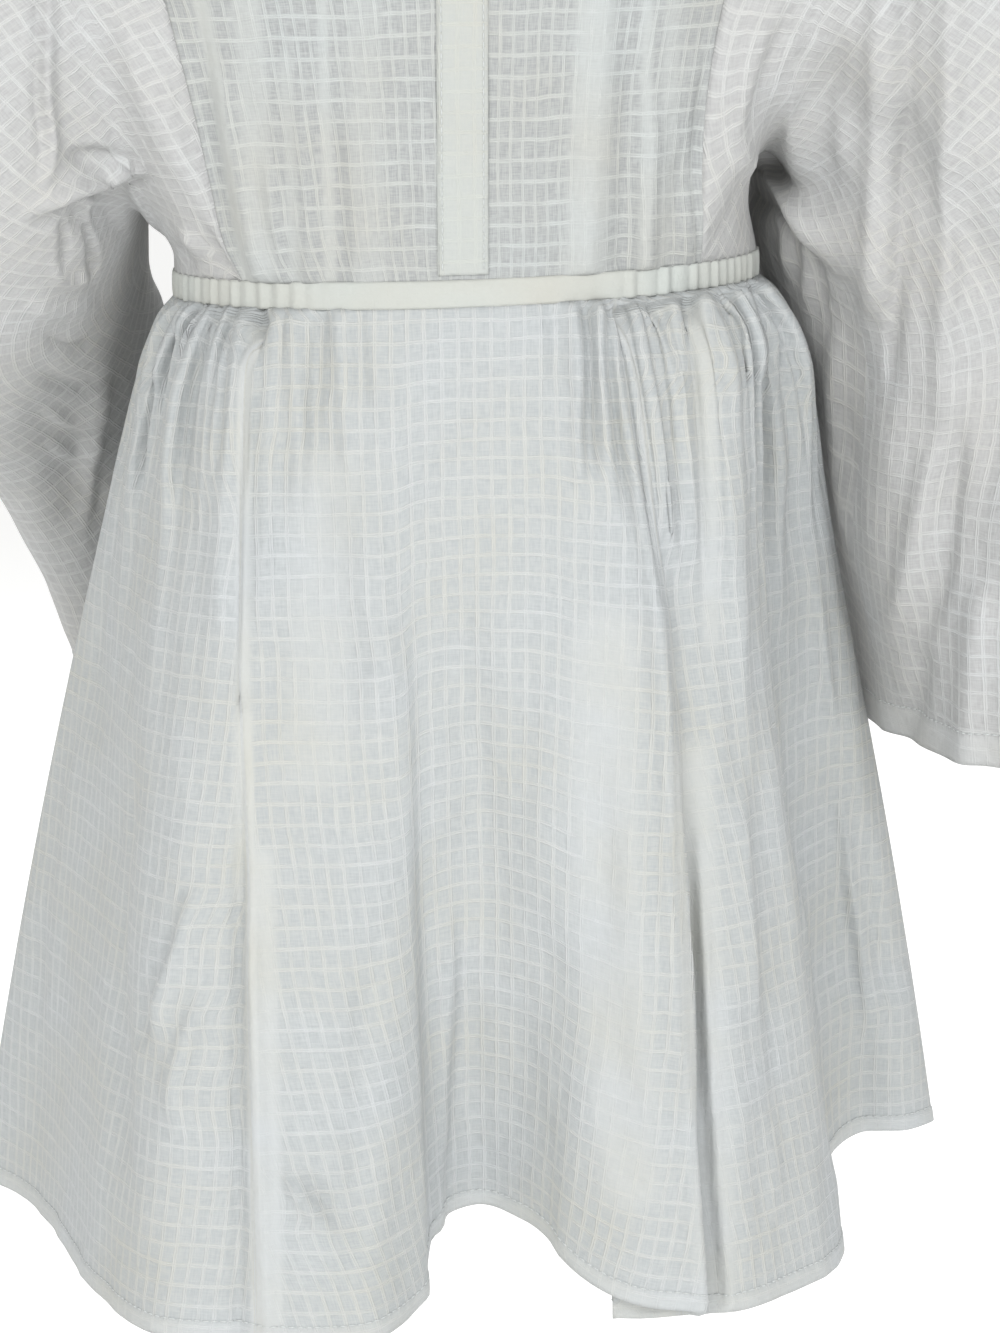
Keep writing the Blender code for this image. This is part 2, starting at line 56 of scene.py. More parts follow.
SHOULDER_HEIGHT = -0.040
NECK_SHARE = 0.5
SEAM_BEARINGS = (-47.0, 51.6)
BODICE_GATHERS = 32 / 3
BODICE_PUCKER = 1.6 * MM
PUCKER_REACH = 26
PUCKER_START = 0.05
BODICE_CRUMPLE = (0.8 * MM, 30 * MM)
BODICE_BACK_DROP = 650
BODICE_GRID = {"front": (190, 150), "back": (150, 130)}

# Level sections, in millimetres: left and right are the x of the seams with the sleeves, edge is how far
# those seams lie before or behind the side line, front and back how far each panel stands out.
BODICE_SECTIONS = (
    # name, height, left, right, edge, front, back
    ("above the casing", -390, -85, 100, 62, 95, 95),
    ("blouse", -378, -91, 100, 66, 96, 97),
    ("side seam end", -351, -97, 99, 72, 99, 101),
    ("low", -325, -102, 100, 77, 103, 105),
    ("under the arm", -290, -110, 105, 82, 108, 108),
    ("chest", -190, -139, 139, 84, 115, 112),
    ("yoke", -105, -169, 171, 58, 108, 105),
    ("top", -20, -190, 190, 0, 80, 70),
)

# Creases placed in the photograph's own pixels, about 2.4 to the millimetre. left and right: how
# far each flank reaches, in pixels. rise: its height in millimetres, negative in a trough. first and last:
# its strength at either end. The back has the same ones, seen from behind.
BODICE_CREASES = (
    # name, left, right, rise, first, last, points
    ("left seam fold", 12, 8, -2.2, 0.6, 1, ((196, 10), (212, 120), (226, 210), (243, 285))),
    ("left blouse fold", 13, 9, 3.2, 0, 1, ((222, 60), (238, 160), (250, 225), (262, 288))),
    ("left pinch", 9, 9, 1.8, 0.2, 1, ((300, 80), (306, 190), (312, 288))),
    ("left tuck", 12, 7, 2.6, 0, 1, ((268, 150), (276, 220), (286, 288))),
    ("left dip", 16, 10, -2.2, 0, 0.8, ((330, 90), (338, 200), (342, 286))),
    ("middle dip", 26, 20, -1.8, 0, 0.3, ((400, 40), (402, 150), (410, 270))),
    ("middle swell", 24, 24, 1.6, 0.2, 0.2, ((520, 20), (524, 140), (522, 280))),
    ("right pinch", 16, 14, 2.6, 0.8, 1, ((604, 0), (597, 110), (590, 200), (585, 288))),
    ("right dip", 14, 12, -2.4, 0.4, 1, ((634, 20), (630, 140), (622, 288))),
    ("right tuck", 10, 12, 2.6, 0, 1, ((656, 90), (650, 190), (646, 288))),
    ("right inner dip", 10, 12, -2.2, 0, 1, ((684, 130), (678, 210), (672, 288))),
    ("flap line", 7, 2.5, -4.6, 0.3, 1, ((708, 60), (702, 120), (702, 200), (704, 284))),
    ("flap", 3, 14, 3.0, 0.3, 0.6, ((710, 60), (708, 120), (710, 200), (712, 284))),
    ("right seam fold", 14, 10, 3.0, 0.6, 1, ((735, 30), (722, 120), (712, 200), (706, 280))),
)
# Bands where the cloth is pinched double, so that its windows close up.
BODICE_BANDS = (
    # name, half width, strength, points
    ("left seam", 9, 0.9, ((200, 0), (222, 120), (238, 220), (252, 288))),
    ("left band", 15, 0.55, ((246, 0), (256, 130), (264, 288))),
    ("left narrow band", 6, 0.6, ((322, 0), (326, 150), (330, 288))),
    ("left faint band", 18, 0.35, ((364, 0), (366, 150), (370, 288))),
    ("right band", 22, 0.65, ((596, 0), (590, 150), (584, 288))),
    ("right narrow band", 6, 0.6, ((648, 0), (646, 150), (642, 288))),
    ("flap", 15, 0.8, ((726, 70), (720, 150), (716, 288))),
    ("right faint band", 9, 0.4, ((672, 0), (668, 150), (662, 288))),
    ("left pinched band", 7, 0.5, ((286, 60), (292, 180), (298, 288))),
)

CAMERA_PLACE = np.array([0.0185, -1.5, -0.25])
CAMERA_AIM = np.array([0.0185, 0.0, -0.565])
CAMERA_HALF_ANGLE = 10.6
PHOTO_WIDTH = 1000
PHOTO_HEIGHT = 1333
PIXELS_PER_MM = 2.4
CREASE_ENDS = (0.3, 0.35)


def photo_frame(points):
    """Where points show in the photograph, in its pixels."""
    ahead = (CAMERA_AIM - CAMERA_PLACE) / np.linalg.norm(CAMERA_AIM - CAMERA_PLACE)
    above = np.cross([1.0, 0, 0], ahead)
    away = points - CAMERA_PLACE
    scale = PHOTO_HEIGHT / 2 / np.tan(np.radians(CAMERA_HALF_ANGLE)) / (away @ ahead)
    return np.stack([PHOTO_WIDTH / 2 + away[..., 0] * scale, PHOTO_HEIGHT / 2 - (away @ above) * scale], -1)


def back_frame(points, drop=0):
    """Where points show from behind, in pixels of the same size, with y counted from drop."""
    across = PHOTO_WIDTH / 2 - points[..., 0] / MM * PIXELS_PER_MM
    down = -points[..., 2] / MM * PIXELS_PER_MM - drop
    return np.stack([across, down], -1)


def spline(keys, values, at, steady=False):
    """Read a smooth curve through values, one for each rising key. A steady one never swings past them."""
    keys, values, at = (np.asarray(item, float) for item in (keys, values, at))
    slopes = np.gradient(values, keys, axis=0)
    if steady:
        rises = np.diff(values, axis=0) / np.diff(keys).reshape((-1,) + (1,) * (values.ndim - 1))
        limit = 3 * np.minimum(np.abs(rises[1:]), np.abs(rises[:-1]))
        slopes[1:-1] = np.where(rises[1:] * rises[:-1] <= 0, 0, np.clip(slopes[1:-1], -limit, limit))
    left = np.clip(np.searchsorted(keys, at, side="right") - 1, 0, len(keys) - 2)
    spread = (slice(None),) + (None,) * (values.ndim - 1)
    span = (keys[left + 1] - keys[left])[spread]
    share = ((at - keys[left]) / (keys[left + 1] - keys[left]))[spread]
    rest = 1 - share
    ends = values[left] * (1 + 2 * share) * rest**2 + values[left + 1] * (3 - 2 * share) * share**2
    return ends + span * (slopes[left] * share * rest**2 - slopes[left + 1] * share**2 * rest)


def ease(value):
    """Go from 0 to 1 smoothly as value does."""
    value = np.clip(value, 0.0, 1.0)
    return value * value * (3 - 2 * value)


def from_ends(count, reach):
    """Go smoothly from 0 at both ends of a row of points to 1 at reach points further in."""
    return ease(np.minimum(np.arange(count), np.arange(count)[::-1]) / reach)


def unit(vectors):
    """The same directions with length 1."""
    return vectors / np.maximum(np.linalg.norm(vectors, axis=-1, keepdims=True), 1e-12)


def column_lengths(points):
    """How far each point of a line, or of each column of a grid, lies from the first."""
    steps = np.linalg.norm(np.diff(points, axis=0), axis=-1)
    return np.concatenate([np.zeros_like(steps[:1]), np.cumsum(steps, axis=0)])


def row_lengths(points, column):
    """How far each point lies along its row from a column."""
    lengths = column_lengths(points.swapaxes(0, 1)).T
    return lengths - lengths[:, column : column + 1]


def run_beside(seen, points, left, right, sharpness=2):
    """How near each seen point lies to a smooth line through a few points, and how far along it."""
    points = np.array(points, float)
    keys = column_lengths(points)
    line = spline(keys, points, np.linspace(0, keys[-1], 5 * len(points)))
    nearest = np.full(seen.shape[:-1], np.inf)
    aside = np.zeros(seen.shape[:-1])
    along = np.zeros(seen.shape[:-1])
    for index, (start, end) in enumerate(zip(line[:-1], line[1:])):
        step = end - start
        away = seen - start
        share = np.clip(away @ step / (step @ step), 0, 1)
        off = away - share[..., None] * step
        distance = np.hypot(off[..., 0], off[..., 1])
        closer = distance < nearest
        nearest = np.where(closer, distance, nearest)
        side = off[..., 0] * step[1] - off[..., 1] * step[0]
        aside = np.where(closer, np.sign(side) * distance, aside)
        along = np.where(closer, (index + share) / (len(line) - 1), along)
    width = np.where(aside < 0, left, right)
    return np.exp(-np.abs(aside / width) ** sharpness), along


def crease_rise(seen, facing, creases):
    """How far creases lift each point, in metres."""
    rise = np.zeros(seen.shape[:-1])
    for _, left, right, height, first, last, points in creases:
        near, along = run_beside(seen, points, left, right)
        strength = first + (1 - first) * ease(along / CREASE_ENDS[0])
        strength = strength * (last + (1 - last) * ease((1 - along) / CREASE_ENDS[1]))
        rise += height * MM * near * strength
    return rise * facing


def crumple_rise(points, depth, size):
    """The small uneven ridges and dents of washed cotton, longer down the cloth than across it."""
    at = points / np.array([size, size, 2.1 * size])
    values = np.array([noise.noise(Vector(point)) for point in at.reshape(-1, 3)])
    finer = np.array([noise.noise(Vector(point)) for point in (2.3 * at + 7.7).reshape(-1, 3)])
    return depth * (0.45 - 1.5 * np.abs(values) + 0.4 * finer).reshape(points.shape[:-1])


def plain_bands(seen, facing, bands):
    """How plain the cloth looks at each point, from 0 to 1."""
    plain = np.zeros(seen.shape[:-1])
    for _, half_width, strength, points in bands:
        near, _ = run_beside(seen, points, half_width, half_width, sharpness=5)
        plain = np.maximum(plain, strength * near * facing)
    return plain


def out_of_cloth(points, closed=False):
    """Unit normals of a grid of points whose columns run to the right and rows run up."""
    if closed:
        along = points.copy()
        along[:, 1:-1] = points[:, 2:] - points[:, :-2]
        along[:, 0] = along[:, -1] = points[:, 1] - points[:, -2]
    else:
        along = np.gradient(points, axis=1)
    return unit(np.cross(along, np.gradient(points, axis=0)))


def facing_camera(points, normals, backwards=False):
    """1 where the cloth faces the viewer, in front or behind, and 0 where it is turned away."""
    toward = unit(np.array([0.0, 1.0, 0.2]) if backwards else CAMERA_PLACE - points)
    return ease(((normals * toward).sum(-1) - 0.05) / 0.3)


def waist_points(bearing, height=0.0):
    """Points on the waist line, raised by height. Bearings are 0 in front and 90 on the right."""
    angle = np.radians(bearing)
    x = WAIST_SHIFT + WAIST_HALF_WIDTH * np.sin(angle)
    return np.stack([x, -WAIST_HALF_DEPTH * np.cos(angle), WAIST_HEIGHT + WAIST_SLOPE * x + height], -1)


def waist_outward(bearing):
    """Level directions out of the waist line."""
    angle = np.radians(bearing)
    x = np.sin(angle) * WAIST_HALF_DEPTH
    y = -np.cos(angle) * WAIST_HALF_WIDTH
    return np.stack([x, y, 0 * x], -1) / np.hypot(x, y)[..., None]


def gathering(bearing):
    """How much the cloth is gathered: not at all across the flat front, and fully at the sides."""
    return ease((np.abs((bearing + 180) % 360 - 180) - FLAT_FRONT) / FLAT_BLEND)


def gather_wave(gathers, share):
    """Ridges and hollows of gathered cloth at shares of its width, each ridge of its own height."""
    turn = gathers * share
    return np.cos(2 * np.pi * turn) * (0.78 + 0.22 * np.sin(2.4 * np.round(turn)))


def bodice_top(across, depth, drop):
    """The neckline and the shoulder line, at shares from -1 to 1 across the bodice."""
    off = np.abs(across)
    neck = np.clip(off / NECK_SHARE, 0, 1) * np.pi / 2
    shoulder = np.clip((off - NECK_SHARE) / (1 - NECK_SHARE), 0, 1)
    x = NECK_HALF_WIDTH * np.sin(neck) + (SHOULDER_HALF_WIDTH - NECK_HALF_WIDTH) * shoulder
    z = NECK_SIDE_HEIGHT - drop * np.cos(neck) + (SHOULDER_HEIGHT - NECK_SIDE_HEIGHT) * shoulder
    return np.stack([np.sign(across) * x, depth * np.cos(neck) * (off < NECK_SHARE), z], -1)


def bodice_panel(facing, columns, share):
    """Points of the front, which faces -1, or the back, at shares of the way up from the waist."""
    across = np.linspace(-1, 1, columns) * -facing
    turn = np.where(across < 0, -across * SEAM_BEARINGS[0], across * SEAM_BEARINGS[1])
    bearing = turn if facing < 0 else 180 - turn
    widest = np.radians(np.where(across < 0, SEAM_BEARINGS[0], SEAM_BEARINGS[1]))
    sideways = np.sin(np.radians(turn)) / np.abs(np.sin(widest))
    bow = (np.cos(np.radians(turn)) - np.cos(widest)) / (1 - np.cos(widest))
    middle = WAIST_SHIFT / MM
    sections = []
    for _, height, left, right, edge, front, back in BODICE_SECTIONS:
        centre = front if facing < 0 else back
        x = (middle + np.where(across < 0, middle - left, right - middle) * sideways) * MM
        y = facing * (edge + (centre - edge) * bow) * MM
        lean = WAIST_SLOPE * (height - SHOULDER_HEIGHT / MM) / (WAIST_HEIGHT - SHOULDER_HEIGHT) * MM
        sections.append(np.stack([x, y, height * MM + lean * x], -1))
    sections[0] = waist_points(bearing, CASING_HEIGHT / 2 + SEAM_GAP)
    sections[-1] = bodice_top(across, *(NECK_FRONT if facing < 0 else NECK_BACK))
    heights = np.array([row[1] for row in BODICE_SECTIONS])
    at = heights[0] + (heights[-1] - heights[0]) * (share - 0.08 * np.sin(2 * np.pi * share))
    points = spline(heights, np.array(sections), at, steady=True)
    wave = gather_wave(BODICE_GATHERS, np.linspace(0, 1, columns)) * gathering(bearing)
    wave[[0, -1]] = 0
    rise = BODICE_PUCKER * np.outer(np.exp((heights[0] - at) / PUCKER_REACH), wave)
    rise = rise * ease(share / PUCKER_START + 0.3)[:, None]
    return points + waist_outward(bearing) * rise[:, :, None]


def cloth_grid(name, points):
    """Make a grid of faces on points, and say which point each corner of its faces stands on."""
    rows, columns = points.shape[:2]
    bpy.ops.object.select_all(action="DESELECT")
    bpy.ops.mesh.primitive_grid_add(x_subdivisions=columns - 1, y_subdivisions=rows - 1, size=1)
    piece = bpy.context.object
    piece.name = name
    piece.data.name = name
    piece.data.vertices.foreach_set("co", points.astype(np.float32).ravel())
    corners = np.zeros(len(piece.data.loops), np.int32)
    piece.data.loops.foreach_get("vertex_index", corners)
    return piece, corners


def make_sheet(name, points, across, along, plain, material, closed=False, wall=SHELL):
    """Lay a sheet of cloth on a grid of points, with its thickness laid inwards.

    across and along say where in the weave each point lies, in metres, and plain how plain it looks.
    """
    piece, corners = cloth_grid(name, points)
    cloth = np.stack(np.broadcast_arrays(across, along), -1)
    layer = piece.data.uv_layers[0]
    layer.name = "cloth"
    layer.data.foreach_set("uv", cloth.reshape(-1, 2)[corners].astype(np.float32).ravel())
    mark = piece.data.attributes.new("plain", "FLOAT", "POINT")
    plain = np.broadcast_to(plain, points.shape[:2])
    mark.data.foreach_set("value", plain.astype(np.float32).ravel())
    if closed:
        bpy.ops.object.mode_set(mode="EDIT")
        bpy.ops.mesh.select_all(action="SELECT")
        bpy.ops.mesh.remove_doubles(threshold=1e-6)
        bpy.ops.object.mode_set(mode="OBJECT")
    thickness = piece.modifiers.new("thickness", "SOLIDIFY")
    thickness.thickness = wall
    thickness.offset = -1
    bpy.ops.object.modifier_apply(modifier=thickness.name)
    piece.data.materials.append(material)
    piece.data.shade_smooth()
    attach(piece, "root")
    return piece


def linear(colour):
    """An sRGB hex colour as linear red, green, blue and alpha."""
    parts = [int(colour[place : place + 2], 16) / 255 for place in (1, 3, 5)]
    return (*[c / 12.92 if c <= 0.04045 else ((c + 0.055) / 1.055) ** 2.4 for c in parts], 1.0)


def add_node(tree, kind, inputs, output=0, **settings):
    """Add a node with its settings, link or set its inputs, and return one of its outputs."""
    node = tree.nodes.new(kind)
    for name, value in settings.items():
        setattr(node, name, value)
    for place, value in inputs.items():
        if isinstance(value, bpy.types.NodeSocket):
            tree.links.new(value, node.inputs[place])
        else:
            node.inputs[place].default_value = value
    return node.outputs[output]


# Woven cotton with a windowpane of heavier cords: every 6.6 mm across and 8.4 mm down, two raised yarns lie
# side by side, and the thin cloth between them is sheer and reads as small grey squares.
PANE_ACROSS = 6.6 * MM
PANE_DOWN = 8.4 * MM
CORD_HALF_WIDTH = 0.9 * MM
YARN_OFFSET = 0.55 * MM


def cotton_shader(tree):
    """Matt cotton, set on the shader's own sockets."""
    shader = tree.nodes["Principled BSDF"]
    shader.inputs["Roughness"].default_value = 0.92
    shader.inputs["Specular IOR Level"].default_value = 0.2
    shader.inputs["Sheen Weight"].default_value = 0.12
    shader.inputs["Sheen Roughness"].default_value = 0.6
    return shader


def cord_lines(tree, place, pitch):
    """Masks of the cords that cross one axis of the cloth, and of the two yarns in each."""
    beside = add_node(tree, "ShaderNodeMath", {0: place, 1: pitch / 2}, operation="PINGPONG")
    cord = add_node(
        tree, "ShaderNodeMapRange",
        {0: beside, 1: CORD_HALF_WIDTH * 0.45, 2: CORD_HALF_WIDTH * 1.5, 3: 1.0, 4: 0.0},
        interpolation_type="SMOOTHSTEP",
    )
    offset = add_node(tree, "ShaderNodeMath", {0: beside, 1: YARN_OFFSET}, operation="SUBTRACT")
    offset = add_node(tree, "ShaderNodeMath", {0: offset}, operation="ABSOLUTE")
    yarn = add_node(
        tree, "ShaderNodeMapRange", {0: offset, 1: 0.0, 2: YARN_OFFSET, 3: 1.0, 4: 0.0},
        interpolation_type="SMOOTHSTEP",
    )
    return cord, yarn


def windowpane_cotton(name, cord_colour, pane_colour, shade_colour, relief=1.0):
    """Windowpane cotton that follows the piece's own place in the weave.

    The noise scales are in waves to the metre of cloth: 21 and 150 bend the cords, 55 fades them, 1500 by
    140 is the yarns' own unevenness, 14 tints the cloth and 85 crinkles it. relief scales the raised cords.
    """
    material = bpy.data.materials.new(name)
    material.use_nodes = True
    tree = material.node_tree
    shader = cotton_shader(tree)
    cloth = add_node(tree, "ShaderNodeUVMap", {}, uv_map="cloth")
    plain = add_node(tree, "ShaderNodeAttribute", {}, output=2, attribute_name="plain")
    for scale, reach in ((21.0, (0.0030, 0.0044, 0.0)), (150.0, (0.0007, 0.0008, 0.0))):
        crooked = add_node(
            tree, "ShaderNodeTexNoise", {"Vector": cloth, "Scale": scale, "Detail": 2.0}, output=1
        )
        cloth = add_node(
            tree, "ShaderNodeVectorMath", {0: crooked, 1: reach, 2: cloth}, operation="MULTIPLY_ADD"
        )
    fade = add_node(tree, "ShaderNodeTexNoise", {"Vector": cloth, "Scale": 55.0, "Detail": 3.0})
    cords, yarns = [], []
    for axis, pitch, fading in (
        (0, PANE_ACROSS, {1: 0.32, 2: 0.6, 3: 0.5, 4: 1.0}),
        (1, PANE_DOWN, {1: 0.42, 2: 0.7, 3: 1.0, 4: 0.5}),
    ):
        place = add_node(tree, "ShaderNodeSeparateXYZ", {0: cloth}, output=axis)
        cord, yarn = cord_lines(tree, place, pitch)
        strength = add_node(tree, "ShaderNodeMapRange", {0: fade, **fading})
        cords.append(add_node(tree, "ShaderNodeMath", {0: cord, 1: strength}, operation="MULTIPLY"))
        yarns.append(yarn)
    cords = add_node(tree, "ShaderNodeMath", dict(enumerate(cords)), operation="MAXIMUM")
    yarns = add_node(tree, "ShaderNodeMath", dict(enumerate(yarns)), operation="MAXIMUM")
    closed = add_node(tree, "ShaderNodeMath", {0: plain, 1: 0.9}, operation="MULTIPLY")
    twin = add_node(tree, "ShaderNodeMapRange", {0: yarns, 1: 0.0, 2: 1.0, 3: 0.6, 4: 1.05})
    cords = add_node(tree, "ShaderNodeMath", {0: cords, 1: twin}, operation="MULTIPLY", use_clamp=True)
    cover = add_node(tree, "ShaderNodeMath", {0: cords, 1: closed}, operation="MAXIMUM")
    open_cloth = add_node(tree, "ShaderNodeMath", {0: 1.0, 1: closed}, operation="SUBTRACT")
    yarns = add_node(tree, "ShaderNodeMath", {0: yarns, 1: open_cloth}, operation="MULTIPLY")
    slubs = []
    for fineness in ((1500.0, 140.0, 1.0), (140.0, 1500.0, 1.0)):
        drawn_out = add_node(tree, "ShaderNodeMapping", {"Vector": cloth, "Scale": fineness})
        slubs.append(add_node(tree, "ShaderNodeTexNoise", {"Vector": drawn_out, "Scale": 1.0, "Detail": 2.0}))
    slub = add_node(tree, "ShaderNodeMath", dict(enumerate(slubs)), operation="ADD")
    tint = add_node(tree, "ShaderNodeTexNoise", {"Vector": cloth, "Scale": 14.0, "Detail": 3.0})
    tint = add_node(tree, "ShaderNodeMapRange", {0: tint, 1: 0.35, 2: 0.7, 3: 0.0, 4: 1.0})
    base = add_node(
        tree, "ShaderNodeMix", {0: tint, 6: linear(cord_colour), 7: linear(shade_colour)}, output=2,
        data_type="RGBA",
    )
    pane = add_node(tree, "ShaderNodeMapRange", {0: slub, 1: 0.75, 2: 1.25, 3: 0.0, 4: 0.55})
    pane = add_node(
        tree, "ShaderNodeMix", {0: pane, 6: linear(pane_colour), 7: base}, output=2, data_type="RGBA"
    )
    colour = add_node(tree, "ShaderNodeMix", {0: cover, 6: pane, 7: base}, output=2, data_type="RGBA")
    tree.links.new(colour, shader.inputs["Base Color"])
    place = add_node(tree, "ShaderNodeTexCoord", {}, output=3)
    crinkle = add_node(tree, "ShaderNodeTexNoise", {"Vector": place, "Scale": 85.0, "Detail": 4.0})
    raised = add_node(tree, "ShaderNodeMath", {0: yarns, 1: 0.14 * relief}, operation="MULTIPLY")
    for height, gain in ((cover, 0.08 * relief), (slub, 0.07), (crinkle, 1.5)):
        raised = add_node(tree, "ShaderNodeMath", {0: height, 1: gain, 2: raised}, operation="MULTIPLY_ADD")
    bump = add_node(tree, "ShaderNodeBump", {"Strength": 1.0, "Distance": MM, "Height": raised})
    tree.links.new(bump, shader.inputs["Normal"])
    return material


# The bodice's cloth is single and loose. Its grey windows are painted darker than the other pieces': painted
# shade, standing for the shaded hollow inside the dress seen through the sheer cloth.
bodice_cotton_painted_shade = windowpane_cotton("sheer windowpane cotton, windows with painted shade", "#AEB2B1", "#8B8D8D", "#ABABA5")
for side, facing in (("front", -1), ("back", 1)):
    columns, rows = BODICE_GRID[side]
    points = bodice_panel(facing, columns, np.linspace(0, 1, rows))
    normals = out_of_cloth(points)
    turned = facing_camera(points, normals, backwards=facing > 0)
    rim = ease(np.minimum(np.arange(rows) + 1.5, np.arange(rows)[::-1]) / 4)
    seen = photo_frame(points) if facing < 0 else back_frame(points, BODICE_BACK_DROP)
    rise = crease_rise(seen, turned, BODICE_CREASES) + crumple_rise(points, *BODICE_CRUMPLE)
    points = points + normals * (rise * from_ends(columns, 4) * rim[:, None])[:, :, None]
    across = row_lengths(points, columns // 2)[rows // 2]
    up = column_lengths(points).mean(axis=1)[:, None]
    plain = plain_bands(seen, turned, BODICE_BANDS)
    name = "bodice_" + side
    panel = make_sheet(name + "_cloth", points, across, up, plain, bodice_cotton_painted_shade)
    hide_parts(name)
    if side == "front":
        front_points, front_normals = points, normals

# Placket. A strip of the same cotton folded double down the centre front, stitched on from the neck to
# the waist with no buttons showing. Being double, it looks denser and paler than the bodice.
PLACKET_WIDTH = 20 * MM
PLACKET_COLUMNS = 12
PLACKET_LIFT = 0.7 * MM
PLACKET_WALL = 0.6 * MM
PLACKET_TRIM = 2
doubled_cotton = windowpane_cotton("doubled cotton", "#ABAFAB", "#A2A5A3", "#AAA9A1", relief=0.7)
past_middle = BODICE_GRID["front"][0] // 2
before_middle = past_middle - 1
centre = (front_points[:, before_middle] + front_points[:, past_middle]) / 2
placket_out = unit(front_normals[:, before_middle] + front_normals[:, past_middle])
step = unit(front_points[:, past_middle + 3] - front_points[:, before_middle - 3])
reach = np.linspace(-1, 1, PLACKET_COLUMNS) * PLACKET_WIDTH / 2
strip = centre[:, None] + reach[None, :, None] * step[:, None] + placket_out[:, None] * PLACKET_LIFT
strip = strip[PLACKET_TRIM:-PLACKET_TRIM]
placket_out = placket_out[PLACKET_TRIM:-PLACKET_TRIM]
along = column_lengths(strip).mean(axis=1)[:, None]
placket = make_sheet(
    "placket_cloth", strip, reach, along, 0.25, doubled_cotton, wall=PLACKET_WALL
)
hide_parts("front_placket")

# Sleeves. Each is one wide piece of the same cotton, joined down the bodice's side seam and gathered into
# the waist under the arm, closed by one seam under the arm, with a 15 mm hem. They hang bent at the elbow.
SLEEVE_SPAN = {"front": 13, "waist": 6, "back": 13}
SLEEVE_GRID = (326, 150)
ARMHOLE_COLUMNS = 33
SLEEVE_HEM = 15 * MM
SLEEVE_HEM_ROWS = 6
# How far a turned-up hem stands out from the single cloth above it.
HEM_STAND = 0.5 * MM
SLEEVE_CRUMPLE = (1.3 * MM, 34 * MM)
# The weave turns by SLEEVE_BIAS degrees towards the shoulder, from BIAS_START above the hem, in metres of
# cloth, over BIAS_REACH. UNROLL_GRID: the columns and rows of the coarse grid that lays the sleeve flat.
SLEEVE_BIAS = {"left": -40, "right": 40}
BIAS_START = {"left": 0.19, "right": 0.10}
BIAS_REACH = {"left": 0.14, "right": 0.24}
UNROLL_GRID = (60, 40)
UPRIGHT_ROWS = 6
# A sleeve's far side has the same creases, mirrored, higher up and weaker.
FAR_DROP = 120
FAR_STRENGTH = 0.8
# Rings from the armhole to the hem, in millimetres and degrees. x, y and z: the middle. across: to the
# outer side. deep: to the front. tip: outer side up. pitch: front down. swing: front outwards.
SLEEVE_RINGS = {
    "left": (
        # name, x, y, z, across, deep, tip, pitch, swing
        ("side", -162, 0, -222, 167, 88, 75, 0, 0),
        ("cap", -178, 0, -242, 148, 90, 68, 0, 0),
        ("upper", -190, 2, -285, 108, 90, 54, 0, 0),
        ("fold over the elbow", -198, 4, -341, 74, 88, 24, 4, 0),
        ("under the fold", -194, 10, -367, 62, 80, 13, 8, 4),
        ("elbow", -192, 38, -412, 53, 70, 0, 20, 15),
        ("forearm", -165, 104, -474, 34, 55, -14, 34, 34),
        ("wrist", -146, 150, -526, 38, 55, -20, 36, 40),
        ("hem", -136, 194, -566, 42, 58, -20, 36, 40),
    ),
    "right": (
        ("side", 163, 0, -208, 155, 88, 74, 0, 0),
        ("cap", 181, 2, -230, 127, 92, 65, 0, 0),
        ("web", 199, 3, -277, 98, 94, 53, 0, 10),
        ("fall", 199, 10, -342, 72, 97, 31, 0, 36),
        ("hang", 220, 25, -415, 66, 103, 4, 0, 42),
        ("middle", 235, 42, -505, 66, 102, 0, 0, 22),
        ("hem", 247, 56, -602, 60, 106, 0, 0, 14),
    ),
}
